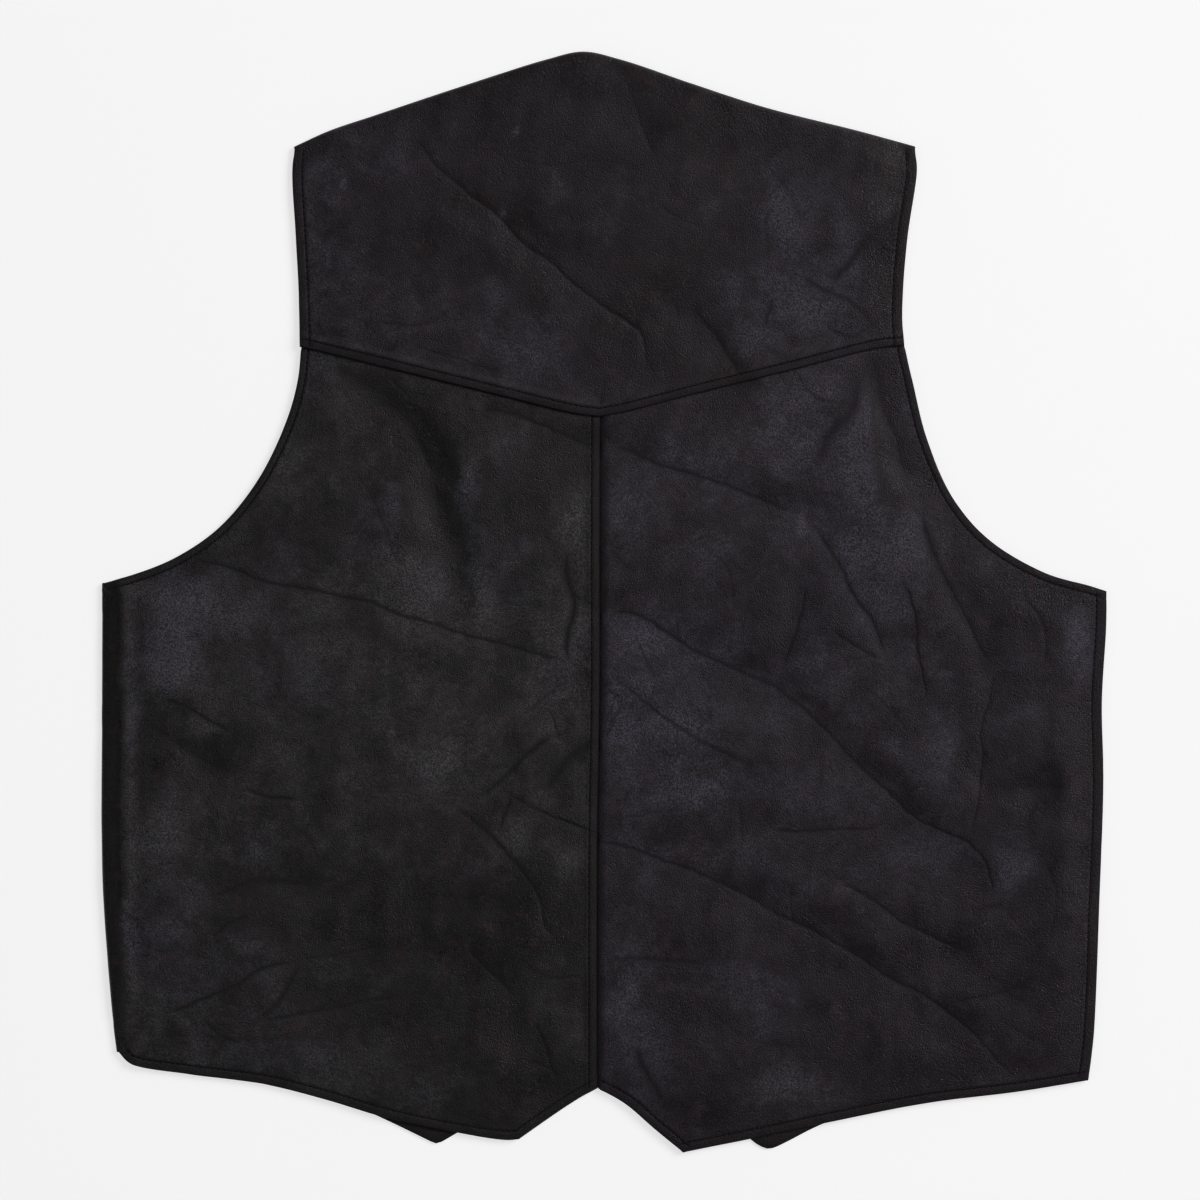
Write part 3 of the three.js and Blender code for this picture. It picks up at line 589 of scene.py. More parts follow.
def crease_relief(points, creases):
    """What the creases add to the height, and a mask of painted shade in their valleys, from 0 to 1."""
    valley_share, valley_slope, dark_slope, full_dark_depth = 0.5, 1.5, 1.25, 0.75
    puff, puff_at, puff_width = 0.08, 3.6, 2.2
    end_share, end_length, reach_limit = 0.17, 18, 6
    rise = np.zeros(len(points))
    valleys = np.zeros(len(points))
    for crease in creases:
        line = sampled(curve_through(crease.points), spacing=5)
        gap, place = distance_to(line, points, within=reach_limit * crease.width)
        inside = np.isfinite(gap)
        gap, place = gap[inside], place[inside]
        length = np.linalg.norm(np.diff(line, axis=0), axis=1).sum()
        fade = smooth(np.minimum(place, 1 - place) / min(end_share, end_length / length))
        reach = gap / crease.width
        valley = valley_share * np.exp(-valley_slope * reach)
        shoulders = puff * np.exp(-(((reach - puff_at) / puff_width) ** 2))
        rise[inside] += crease.depth * fade * (shoulders - valley)
        dark = fade * np.exp(-((dark_slope * reach) ** 2)) * min(1, crease.depth / full_dark_depth)
        valleys[inside] = np.maximum(valleys[inside], dark)
    return rise, valleys


def band(distance, shape):
    """Relief of a band beside an edge."""
    return shape.rise * (1 - smooth((distance - shape.width) / shape.slope))


def back_height(points):
    """Height of the back's outer face with its largest folds, and a share that rises in from its edges."""
    inward = smooth(nearest(FREE_EDGES, points, within=EDGE_FALL) / EDGE_FALL)
    folded = sum(fold_rise(fold, points) for fold in FOLDS)
    level = EDGE_HEIGHT + (BODY_HEIGHT - EDGE_HEIGHT) * inward
    return np.maximum(EDGE_HEIGHT, level + folded * (FOLD_AT_EDGE + (1 - FOLD_AT_EDGE) * inward)), inward


def roll_fall(points):
    """How the back falls towards its rolled left side and shoulder line, past a low ridge."""
    ridge_at, ridge_rise, ridge_width, side_drop = 10.5, 0.7, 6, 3.1
    shoulder_from, shoulder_width, shoulder_drop = 1, 17, 0.5
    side = distance_to(LINES["side left"], points, within=32)[0]
    shoulder = distance_to(LINES["shoulder"], points, within=20)[0]
    past_ridge = np.maximum(0, side - ridge_at)
    ridge = ridge_rise * np.exp(-((past_ridge / ridge_width) ** 2))
    side_fall = ridge - side_drop * (1 - np.clip(side / ridge_at, 0, 1))
    shoulder_fall = -shoulder_drop * (1 - smooth((shoulder - shoulder_from) / shoulder_width))
    return side_fall + shoulder_fall


class Face:
    """The outer face of a sheet, with its creases, stitch lines and edges."""

    def __init__(self, creases, stitch_lines, edges):
        self.creases = creases
        self.stitch_lines = stitch_lines
        self.edges = edges

    def detail_lines(self):
        """Where the mesh needs its finest cells."""
        crease_lines = [sampled(curve_through(crease.points), spacing=6) for crease in self.creases]
        return crease_lines + self.stitch_lines

    def creases_and_painted_shade(self, points):
        return crease_relief(wandered(points), self.creases)[0]

    def groove(self, points):
        """How far the stitches press in."""
        reach = nearest(self.stitch_lines, points, within=4 * GROOVE_WIDTH) / GROOVE_WIDTH
        return GROOVE_DEPTH * np.exp(-(reach**2))


class BackFace(Face):
    """The upward face of a piece of the back, with what its seams raise or press in."""

    def __init__(self, creases, stitch_lines, edges, seam_relief):
        super().__init__(creases, stitch_lines, edges)
        self.seam_relief = seam_relief

    def height(self, points):
        lying, inward = back_height(wandered(points))
        swells = sum(waves(points, swell) for swell in SWELLS)
        swells *= SWELL_AT_EDGE + (1 - SWELL_AT_EDGE) * inward
        top = lying + roll_fall(points) + swells + self.creases_and_painted_shade(points)
        return np.maximum(top, LOWEST_TOP) + self.seam_relief(points) - self.groove(points)


class FrontFace(Face):
    """The downward face of a front: flat on the floor, with creases and stitch lines that lift off it."""

    def height(self, points):
        return np.maximum(0, -self.creases_and_painted_shade(points)) + self.groove(points)


def thickness(points, top):
    """The leather, doubled where a free edge is turned in, and never reaching down into the fronts."""
    clear_of_roll, slope = 4, 8
    edge = nearest(FREE_EDGES, points, within=TURNING_WIDTH + TURNING_SLOPE)
    turned = 1 - smooth((edge - TURNING_WIDTH) / TURNING_SLOPE)
    rolled = nearest([LINES["side left"], LINES["shoulder"]], points, within=clear_of_roll + slope)
    doubled = LEATHER + (TURNED_EDGE - LEATHER) * turned * smooth((rolled - clear_of_roll) / slope)
    return np.minimum(doubled, top - FRONTS_TOP)


def four_sided(bottom, top, left, right, inset, cells):
    """A four-sided surface as a grid of points, set in from its outline for the rim that goes round it."""
    bottom, top = moved_left(bottom, inset["bottom"]), moved_left(top, -inset["top"])
    left, right = moved_left(left, -inset["left"]), moved_left(right, inset["right"])
    low_left, low_right = crossing(bottom, 0, left, 0), crossing(bottom, 1, right, 0)
    high_left, high_right = crossing(top, 0, left, 1), crossing(top, 1, right, 1)
    bottom, top = pinned(bottom, low_left, low_right), pinned(top, high_left, high_right)
    left, right = pinned(left, low_left, high_left), pinned(right, low_right, high_right)
    across, along = (np.linspace(0, 1, count + 1) for count in cells)
    u, v = across[None, :, None], along[:, None, None]
    sides = (1 - u) * left(along)[:, None] + u * right(along)[:, None]
    ends = (1 - v) * bottom(across)[None] + v * top(across)[None]
    low = (1 - u) * low_left + u * low_right
    high = (1 - u) * high_left + u * high_right
    return sides + ends - (1 - v) * low - v * high


def raised(grid, height):
    """Level points with their heights."""
    flat = grid.reshape(-1, 2)
    return np.concatenate([flat, height(flat)[:, None]], axis=1).reshape(*grid.shape[:-1], 3)


def roll(edge, outward):
    """Lines of points past a rolled edge, half a turn round and then flat on the floor, with normals."""
    radius = edge[:, 2:] / 2
    centre = edge * (1, 1, 0.5)
    flat_run = TURN_UNDER - radius
    places = [(math.radians(degrees), 0) for degrees in ROLL_ANGLES]
    places += [(math.pi, step / FLAT_RUN_STEPS) for step in range(1, FLAT_RUN_STEPS + 1)]
    lines, normals = [], []
    for angle, share in places:
        normal = outward * math.sin(angle) + np.array([0, 0, 1]) * math.cos(angle)
        lines.append(centre + normal * radius - outward * flat_run * share)
        normals.append(normal)
    return lines, normals


# Building the meshes

def closed_shell(outer, normal, thick):
    """Points and faces of a closed shell: its outer face, its inner face, and a rounded rim between them."""
    sharpest_turn = -0.2
    rows, columns = outer.shape[:2]
    count = rows * columns
    index = np.arange(count).reshape(rows, columns)
    loop = np.concatenate([index[0, :-1], index[:-1, -1], index[-1, :0:-1], index[:0:-1, 0]])
    outer, normal, thick = outer.reshape(-1, 3), normal.reshape(-1, 3), thick.reshape(-1, 1)
    inner = outer - normal * thick
    edge = outer[loop]
    run = np.roll(edge, -1, axis=0) - edge
    run /= np.linalg.norm(run, axis=1)[:, None]
    after = np.cross(run, normal[loop])
    before = np.roll(after, 1, axis=0)
    mitre = (before + after) / (1 + np.clip(np.sum(before * after, axis=1), sharpest_turn, 1))[:, None]
    middle, half = (edge + inner[loop]) / 2, thick[loop] / 2
    rings = [
        middle + half * (mitre * math.cos(math.radians(angle)) + normal[loop] * math.sin(math.radians(angle)))
        for angle in RIM_ANGLES
    ]
    ring_index = [2 * count + ring * len(loop) + np.arange(len(loop)) for ring in range(len(rings))]
    quads = np.stack([index[:-1, :-1], index[:-1, 1:], index[1:, 1:], index[1:, :-1]], axis=-1).reshape(-1, 4)
    faces = [quads, quads[:, ::-1] + count]
    levels = [loop, *ring_index, loop + count]
    for upper, lower in zip(levels, levels[1:]):
        faces.append(np.stack([upper, lower, np.roll(lower, -1), np.roll(upper, -1)], axis=-1))
    return np.vstack([outer, inner, *rings]), np.vstack(faces), loop


def places_of(mesh):
    """A mesh's points in millimetres."""
    places = np.empty(len(mesh.vertices) * 3)
    mesh.vertices.foreach_get("co", places)
    return places.reshape(-1, 3) / MM


def on_open_sheet(mesh):
    """Which of a mesh's points lie on the open sheet, inside its rim."""
    marks = np.empty(len(mesh.vertices))
    mesh.attributes["open_sheet"].data.foreach_get("value", marks)
    return marks > 0.5


def refined(mesh, lines):
    """Halves the cells of the open sheet near some lines, twice where they are nearest."""
    for within in (HALVED_WITHIN, QUARTERED_WITHIN):
        ends = np.empty(len(mesh.edges) * 2, int)
        mesh.edges.foreach_get("vertices", ends)
        ends = ends.reshape(-1, 2)
        candidates = np.nonzero(np.all(on_open_sheet(mesh)[ends], axis=1))[0]
        middles = places_of(mesh)[:, :2][ends[candidates]].mean(axis=1)
        chosen = candidates[nearest(lines, wandered(middles), within) < within]
        work = bmesh.new()
        work.from_mesh(mesh)
        work.edges.ensure_lookup_table()
        bmesh.ops.subdivide_edges(work, edges=[work.edges[i] for i in chosen], cuts=1, use_grid_fill=True)
        work.to_mesh(mesh)
        work.free()


def add_attribute(mesh, name, values):
    layer = mesh.attributes.get(name) or mesh.attributes.new(name, "FLOAT", "POINT")
    layer.data.foreach_set("value", np.asarray(values, np.float32))


def mesh_from(name, points, faces):
    """A mesh from points in millimetres and a list of faces."""
    mesh = bpy.data.meshes.new(name)
    mesh.from_pydata((points * MM).tolist(), [], faces)
    mesh.shade_smooth()
    return mesh


def piece_from(name, mesh, material):
    """A piece of the vest, which rides on its one body."""
    piece = bpy.data.objects.new(name, mesh)
    bpy.context.scene.collection.objects.link(piece)
    mesh.materials.append(material)
    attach(piece, "root")
    return piece


def patched(points, patches):
    """What soft-edged patches add up to at each point."""
    total = np.zeros(len(points))
    for patch in patches:
        reach = np.hypot((points[:, 0] - patch.x) / patch.across, (points[:, 1] - patch.y) / patch.up)
        total += patch.amount * np.exp(-reach**2)
    return total


def leather_piece(name, node, grids, face, material):
    """One sheet of leather that stands for a node: shell, fine cells beside its creases, and its masks."""
    outer, normal, thick, open_sheet = grids
    points, faces, loop = closed_shell(outer, normal, thick)
    mesh = mesh_from(name, points, faces.tolist())
    marks = np.zeros(len(points))
    marks[: open_sheet.size] = open_sheet.reshape(-1)
    marks[loop] = 0
    add_attribute(mesh, "open_sheet", marks)
    refined(mesh, face.detail_lines())
    places = places_of(mesh)
    inside = on_open_sheet(mesh)
    places[inside, 2] = face.height(places[inside, :2])
    mesh.vertices.foreach_set("co", (places * MM).reshape(-1))
    mesh.attributes.remove(mesh.attributes["open_sheet"])
    spots = places[:, :2]
    shifted = wandered(spots)
    _, valleys = crease_relief(shifted, face.creases)
    grooves = np.exp(-((nearest(face.stitch_lines, spots, within=3) / GROOVE_PAINTED_SHADE) ** 2))
    edge = nearest(face.edges, spots, within=8)
    # Painted shade in crease valleys and along the margins of seams and edges
    add_attribute(mesh, "creases_and_painted_shade", np.maximum(valleys, band(edge, MARGIN_PAINTED_SHADE)))
    # Painted shade in stitch grooves and at seams and edges
    add_attribute(mesh, "painted_seam_shade", np.maximum(grooves, np.exp(-((edge / EDGE_PAINTED_SHADE) ** 2))))
    # Patches of wear, some of them painted highlight and some painted shade
    add_attribute(mesh, "wear_and_painted_light", patched(shifted, WEAR_AND_PAINTED_LIGHT))
    add_attribute(mesh, "bluish", patched(shifted, BLUISH))
    mesh.update()
    piece = piece_from(name, mesh, material)
    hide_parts(node)
    return piece


def tube_faces(rings, around, side):
    """The faces of one tube with closed ends, wound for the top side or, at -1, for the underside."""
    faces = []
    for low in range(0, (rings - 1) * around, around):
        for step in range(around):
            after = (step + 1) % around
            faces.append([low + step, low + after, low + around + after, low + around + step])
    last = (rings - 1) * around
    faces.append([around - 1 - step for step in range(around)])
    faces.append([last + step for step in range(around)])
    return [face[::side] for face in faces]


def stitches(name, lines, keep, height, material, proud, side=1):
    """Stitches along lines, joined in one mesh: each a short bowed thread that dips in at both ends."""
    around, end_bulge, end_dip = 6, 1.06, 0.6
    rings = np.array([-1, -0.86, -0.5, 0, 0.5, 0.86, 1])
    spots = [sampled(through(line), spacing=STITCH_PITCH) for line in lines]
    centres = np.vstack([(line[1:] + line[:-1]) / 2 for line in spots])
    runs = np.vstack([np.diff(line, axis=0) for line in spots])
    chosen = keep(centres)
    centres, runs = centres[chosen], runs[chosen]
    runs /= np.linalg.norm(runs, axis=1)[:, None]
    across = np.stack([-runs[:, 1], runs[:, 0]], axis=1)
    middles = centres[:, None] + rings[None, :, None] * runs[:, None] * STITCH_LENGTH / 2
    tops = height(middles.reshape(-1, 2)).reshape(len(centres), len(rings))
    turn = np.linspace(0, 2 * math.pi, around, endpoint=False)
    radius = STITCH_RADIUS * np.sqrt(end_bulge - rings**2)
    bow = proud - end_dip * np.abs(rings) ** 3
    sideways = np.cos(turn)[None, :] * radius[:, None]
    upwards = bow[:, None] + np.sin(turn)[None, :] * radius[:, None]
    level = middles[:, :, None] + sideways[None, :, :, None] * across[:, None, None]
    heights = tops[:, :, None] + side * upwards[None]
    points = np.concatenate([level, heights[..., None]], axis=-1).reshape(-1, 3)
    size = len(rings) * around
    one = tube_faces(len(rings), around, side)
    starts = range(0, len(centres) * size, size)
    faces = [[start + corner for corner in face] for start in starts for face in one]
    return piece_from(name, mesh_from(name, points, faces), material)


# Materials

class Nodes:
    """Short calls that add nodes to one tree and link them."""

    def __init__(self, tree):
        self.tree = tree

    def add(self, kind, settings=(), **sockets):
        node = self.tree.nodes.new(kind)
        for name, value in dict(settings).items():
            setattr(node, name, value)
        for name, value in sockets.items():
            self.feed(node.inputs[name.replace("_", " ")], value)
        return node

    def feed(self, socket, value):
        if isinstance(value, bpy.types.NodeSocket):
            self.tree.links.new(value, socket)
        else:
            socket.default_value = value

    def maths(self, operation, first, second=0.0, clamp=False):
        node = self.add("ShaderNodeMath", {"operation": operation, "use_clamp": clamp})
        self.feed(node.inputs[0], first)
        self.feed(node.inputs[1], second)
        return node.outputs[0]

    def ranged(self, value, low, high, to_low=0.0, to_high=1.0):
        node = self.add("ShaderNodeMapRange", Value=value, From_Min=low, From_Max=high, To_Min=to_low,
                        To_Max=to_high)
        return node.outputs["Result"]

    def mixed(self, factor, first, second, blend="MIX"):
        node = self.add("ShaderNodeMix", {"data_type": "RGBA", "blend_type": blend})
        self.feed(node.inputs["Factor"], factor)
        self.feed(node.inputs[6], first)
        self.feed(node.inputs[7], second)
        return node.outputs[2]

    def noise(self, place, scale, detail=2.0, roughness=0.5):
        node = self.add("ShaderNodeTexNoise", Vector=place, Scale=scale, Detail=detail, Roughness=roughness)
        return node.outputs["Fac"]

    def mask(self, name):
        return self.add("ShaderNodeAttribute", {"attribute_name": name}).outputs["Fac"]

    def bumped(self, height, strength, distance, normal=None):
        node = self.add("ShaderNodeBump", Height=height, Strength=strength, Distance=distance)
        if normal is not None:
            self.feed(node.inputs["Normal"], normal)
        return node.outputs["Normal"]


def node_group(name, inputs, outputs):
    """A shader node group, with what it is given and what it puts out."""
    group = bpy.data.node_groups.new(name, "ShaderNodeTree")
    for kind, socket_name in inputs:
        group.interface.new_socket(socket_name, in_out="INPUT", socket_type="NodeSocket" + kind)
    for kind, socket_name in outputs:
        group.interface.new_socket(socket_name, in_out="OUTPUT", socket_type="NodeSocket" + kind)
    nodes = Nodes(group)
    return group, nodes, nodes.add("NodeGroupInput").outputs, nodes.add("NodeGroupOutput").inputs


def pebble_grain():
    """The height of a fine pebbled grain, and a mask of the pores between its pebbles."""
    group, nodes, given, made = node_group(
        "Pebble grain",
        [("Vector", "Place"), ("Float", "Pebbles per metre")],
        [("Float", "Height"), ("Float", "Pores")],
    )
    place, pebbles = given["Place"], given["Pebbles per metre"]
    drift = nodes.noise(place, 300.0, detail=1.0)
    moved = nodes.add("ShaderNodeVectorMath", {"operation": "SCALE"}, Vector=place)
    nodes.feed(moved.inputs["Scale"], nodes.ranged(drift, 0.0, 1.0, 0.998, 1.002))
    cells = nodes.add("ShaderNodeTexVoronoi", Vector=moved.outputs[0], Scale=pebbles, Randomness=0.95)
    distance = cells.outputs["Distance"]
    fine = nodes.noise(place, nodes.maths("MULTIPLY", pebbles, 2.3), detail=2.0, roughness=0.6)
    dome = nodes.maths("SUBTRACT", 1.0, nodes.maths("MULTIPLY", distance, distance))
    nodes.feed(made["Height"], nodes.maths("ADD", dome, nodes.maths("MULTIPLY", fine, 0.6)))
    nodes.feed(made["Pores"], nodes.ranged(distance, 0.45, 0.8))
    return group


def hide_variation():
    """How the finish of a hide varies, from broad clouds to its finest speckle."""
    group, nodes, given, made = node_group(
        "Hide variation",
        [("Vector", "Place")],
        [("Float", name) for name in ("Clouds", "Cast", "Ragged", "Flecks", "Speckle", "Veins")],
    )
    place = given["Place"]
    for output, scale, detail, roughness, low, high, least in (
        ("Clouds", 13.0, 8.0, 0.74, 0.3, 0.7, 0.0),
        ("Cast", 12.0, 3.0, 0.55, 0.38, 0.62, 0.0),
        ("Ragged", 55.0, 8.0, 0.78, 0.32, 0.68, -1.0),
        ("Flecks", 120.0, 3.0, 0.65, 0.59, 0.7, 0.0),
        ("Speckle", 900.0, 3.0, 0.85, 0.43, 0.57, 0.0),
    ):
        clouding = nodes.noise(place, scale, detail, roughness)
        nodes.feed(made[output], nodes.ranged(clouding, low, high, least))
    bend = nodes.add("ShaderNodeTexNoise", Vector=place, Scale=60.0, Detail=3.0)
    bent = nodes.mixed(0.012, place, bend.outputs["Color"], blend="ADD")
    cells = nodes.add("ShaderNodeTexVoronoi", {"feature": "DISTANCE_TO_EDGE"}, Vector=bent, Scale=58.0)
    line = nodes.ranged(cells.outputs["Distance"], 0.0, 0.035, 1.0, 0.0)
    where = nodes.ranged(nodes.noise(place, 30.0, 2.0, 0.5), 0.5, 0.66)
    nodes.feed(made["Veins"], nodes.maths("MULTIPLY", line, where))
    return group


def new_material(name):
    """A material with its nodes, its surface shader and the coordinates that its patterns follow."""
    material = bpy.data.materials.new(name)
    material.use_nodes = True
    nodes = Nodes(material.node_tree)
    surface = material.node_tree.nodes["Principled BSDF"]
    place = nodes.add("ShaderNodeTexCoord").outputs["Object"]
    return material, nodes, surface, place


def leather_material(name, grain, variation, hide):
    """Black leather with a pebble grain, paler in patches of wear and painted highlight, darker in patches of
    smooth wear and painted shade, with painted shade in its creases, seams and stitch grooves.
    """
    # A near-black for pores, and a black for veins, for smooth dark wear and for painted shade
    pore_black, black_and_painted_shade = (0.0035, 0.003, 0.0033, 1), (0.0028, 0.0024, 0.0028, 1)
    blue_cast, blue_dust_and_painted_sheen = (0.0180, 0.0163, 0.0250, 1), (0.122, 0.114, 0.164, 1)
    fleck = (0.048, 0.020, 0.028, 1)
    material, nodes, surface, place = new_material(name)
    grained = nodes.add("ShaderNodeGroup", {"node_tree": grain}, Place=place, Pebbles_per_metre=1250.0)
    varied = nodes.add("ShaderNodeGroup", {"node_tree": variation}, Place=place)
    creases_and_painted_shade, painted_seam_shade, wear_and_painted_light, bluish = (nodes.mask(mask) for mask in ("creases_and_painted_shade", "painted_seam_shade", "wear_and_painted_light", "bluish"))
    clouds, ragged, speckle, flecks, veins = (
        varied.outputs[output] for output in ("Clouds", "Ragged", "Speckle", "Flecks", "Veins")
    )

    # Paler where wear and painted highlight lie; darker and smoother where smooth wear and painted shade lie
    lean = nodes.maths("ADD", wear_and_painted_light, nodes.maths("MULTIPLY", ragged, 0.6))
    pale = nodes.ranged(lean, -0.05, 0.95)
    smooth_dark_and_painted_shade = nodes.ranged(lean, -0.05, -0.8)
    cast = nodes.maths("MULTIPLY", nodes.maths("ADD", varied.outputs["Cast"], bluish), 0.5, clamp=True)
    # The pale tone of wear, also used as painted sheen
    worn_and_painted_sheen = nodes.mixed(cast, hide.dusty, blue_dust_and_painted_sheen)
    speckled = nodes.mixed(speckle, nodes.mixed(0.92, worn_and_painted_sheen, pore_black), worn_and_painted_sheen)
    color = nodes.mixed(clouds, hide.dark, hide.light)
    color = nodes.mixed(cast, color, blue_cast)
    color = nodes.mixed(nodes.ranged(speckle, 0.0, 1.0, 0.88, 0.0), color, pore_black)
    # Covers in turn: wear with painted highlight, smooth dark wear with painted shade, flecks, veins, painted
    # shade in creases and margins, painted shade in seams and stitch grooves, and pores
    for cover, share, tone in (
        (pale, 0.9, speckled),
        (smooth_dark_and_painted_shade, 0.88, black_and_painted_shade),
        (flecks, 0.5, fleck),
        (veins, 0.8, black_and_painted_shade),
        (creases_and_painted_shade, 0.85, black_and_painted_shade),
        (painted_seam_shade, 0.95, black_and_painted_shade),
        (grained.outputs["Pores"], 0.6, pore_black),
    ):
        color = nodes.mixed(nodes.maths("MULTIPLY", cover, share), color, tone)
    nodes.feed(surface.inputs["Base Color"], color)

    rough = nodes.ranged(pale, 0.0, 1.0, 0.46, 0.62)
    for cover, least, most in (
        (smooth_dark_and_painted_shade, 0.0, -0.07),
        (clouds, -0.03, 0.03),
        (speckle, -0.13, 0.13),
        (creases_and_painted_shade, 0.0, 0.2),
    ):
        rough = nodes.maths("ADD", rough, nodes.ranged(cover, 0.0, 1.0, least, most))
    rough = nodes.maths("MAXIMUM", rough, nodes.maths("MULTIPLY", painted_seam_shade, 0.95))
    nodes.feed(surface.inputs["Roughness"], rough)
    surface.inputs["Specular IOR Level"].default_value = 0.4
    surface.inputs["Specular Tint"].default_value = hide.sheen

    veined = nodes.maths("SUBTRACT", clouds, nodes.maths("MULTIPLY", veins, 0.1))
    swell = nodes.bumped(veined, 0.35, 0.0012)
    grain_strength = nodes.ranged(smooth_dark_and_painted_shade, 0.0, 1.0, 1.0, 0.74)
    fine = nodes.bumped(grained.outputs["Height"], grain_strength, 0.0003, swell)
    nodes.feed(surface.inputs["Normal"], fine)
    return material


def thread_material():
    """Black polyester thread with the twist of its plies."""
    material, nodes, surface, place = new_material("black thread")
    twist = nodes.add("ShaderNodeTexWave", {"bands_direction": "DIAGONAL"}, Vector=place, Scale=900.0)
    twist.inputs["Distortion"].default_value = 1.5
    fuzz = nodes.noise(place, 3000.0, 2.0, 0.6)
    color = nodes.mixed(fuzz, (0.003, 0.0028, 0.003, 1), (0.010, 0.0094, 0.0104, 1))
    nodes.feed(surface.inputs["Base Color"], color)
    nodes.feed(surface.inputs["Roughness"], nodes.ranged(fuzz, 0.3, 0.7, 0.8, 0.95))
    surface.inputs["Specular IOR Level"].default_value = 0.15
    nodes.feed(surface.inputs["Normal"], nodes.bumped(twist.outputs["Fac"], 0.5, 0.0001))
    return material


# A hide's tones: dark and light for its clouds, the pale tone of wear that also serves as painted sheen, and
# the tint of its reflections
Hide = namedtuple("Hide", "dark light dusty sheen")
HIDES = {
    "yoke leather": Hide(
        dark=(0.0110, 0.0099, 0.0102, 1),
        light=(0.0230, 0.0207, 0.0214, 1),
        dusty=(0.125, 0.118, 0.140, 1),
        sheen=(1, 0.90, 0.97, 1),
    ),
    "left back leather": Hide(
        dark=(0.0113, 0.0106, 0.0096, 1),
        light=(0.0240, 0.0226, 0.0206, 1),
        dusty=(0.125, 0.120, 0.117, 1),
        sheen=(1, 0.93, 0.94, 1),
    ),
    "right back leather": Hide(
        dark=(0.0115, 0.0103, 0.0107, 1),
        light=(0.0242, 0.0215, 0.0226, 1),
        dusty=(0.125, 0.116, 0.138, 1),
        sheen=(1, 0.89, 0.98, 1),
    ),
    "front leather": Hide(
        dark=(0.0105, 0.0094, 0.0100, 1),
        light=(0.0215, 0.0194, 0.0206, 1),
        dusty=(0.100, 0.094, 0.106, 1),
        sheen=(1, 0.90, 0.95, 1),
    ),
}
grain, variation = pebble_grain(), hide_variation()
yoke_leather, left_leather, right_leather, front_leather = (
    leather_material(name, grain, variation, hide) for name, hide in HIDES.items()
)
thread = thread_material()


# The back

def below_yoke_seam(points):
    """How far a point lies below the yoke's lower edge."""
    return np.interp(points[:, 0], YOKE_SEAM[:, 0], YOKE_SEAM[:, 1]) - points[:, 1]


def lap_dip(points):
    """How the panels are pressed down where the yoke's folded edge laps over them."""
    return -LAP_DIP * (1 - smooth(below_yoke_seam(points) / LAP_SLOPE))


def yoke_seam_relief(points):
    return band(distance_to(YOKE_SEAM, points, within=12)[0], FOLDED_EDGE)


def left_seam_relief(points):
    raised_part = band(distance_to(LINES["centre"], points, within=12)[0], CENTRE_ALLOWANCE)
    return raised_part * smooth(below_yoke_seam(points) / CENTRE_FADE) + lap_dip(points)


def right_seam_relief(points):
    """The right panel dips to the centre seam, and its seam allowance runs on below the left panel."""
    past = points[:, 0] - np.interp(points[:, 1], LINES["centre"][:, 1], LINES["centre"][:, 0])
    allowance = ALLOWANCE_DIP * smooth(-past / ALLOWANCE_SLOPE)
    return band(np.maximum(past, 0), CENTRE_DIP) + allowance + lap_dip(points)


def stitch_line(edge, distance):
    return sampled(moved_left(EDGES[edge], distance), spacing=6)


def roll_start(edge, height):
    """Where a rolled edge leaves the top: in from its outline by half the height there."""
    def at(share):
        outward = left_of(EDGES[edge], share)
        inside = EDGES[edge](share) - outward * BODY_HEIGHT / 2
        reach = height(inside.reshape(-1, 2)).reshape(inside.shape[:-1]) / 2
        return EDGES[edge](share) - outward * reach[..., None]
    return at


def sheet_grids(grid, height):
    """The open sheet's points, normals, thicknesses and marks."""
    outer = raised(grid, height)
    thick = thickness(grid.reshape(-1, 2), outer[..., 2].reshape(-1)).reshape(grid.shape[:2])
    return outer, np.broadcast_to([0.0, 0.0, 1.0], outer.shape), thick, np.ones(grid.shape[:2])


def with_roll(grids, lines, normals, axis, before):
    """The same grids carried on past a rolled edge, on one side of them."""
    outer, normal, thick, marks = grids
    added = [np.stack(lines, axis), np.stack(normals, axis)]
    shape = added[0].shape[:2]
    added += [np.full(shape, LEATHER), np.zeros(shape)]
    if before:
        added = [np.flip(part, axis) for part in added]
        return [np.concatenate([part, old], axis) for part, old in zip(added, grids)]
    return [np.concatenate([old, part], axis) for part, old in zip(added, grids)]


def level(directions):
    """Level directions in three dimensions."""
    return np.concatenate([directions, np.zeros((len(directions), 1))], axis=1)


RIM = LEATHER / 2
TURNED_RIM = TURNED_EDGE / 2

yoke_face = BackFace(
    YOKE_CREASES,
    [
        np.vstack([stitch_line("seam left", YOKE_STITCH), stitch_line("seam right", YOKE_STITCH)]),
        stitch_line("yoke left", -SIDE_STITCH),
        stitch_line("yoke right", SIDE_STITCH),
    ],
    [YOKE_SEAM, LINES["yoke left"], LINES["yoke right"]],
    yoke_seam_relief,
)
left_face = BackFace(
    LEFT_CREASES,
    [
        stitch_line("armhole left", -EDGE_STITCH),
        stitch_line("centre", CENTRE_STITCH),
        stitch_line("hem left", HEM_STITCH),
        stitch_line("notch left", HEM_STITCH),
    ],
    [LINES[name] for name in ("armhole left", "hem left", "notch left", "centre")],
    left_seam_relief,
)
right_face = BackFace(
    RIGHT_CREASES,
    [
        stitch_line("armhole right", -EDGE_STITCH),
        stitch_line("side right", SIDE_STITCH),
        stitch_line("notch right", HEM_STITCH),
        stitch_line("hem right", HEM_STITCH),
    ],
    [LINES[name] for name in ("armhole right", "side right", "notch right", "hem right", "centre")],
    right_seam_relief,
)


def away_from_edges(lines, least):
    """Which stitches keep clear of the edges, so that rows of them stop where they meet."""
    return lambda points: nearest(lines, points, within=least + 1) > least


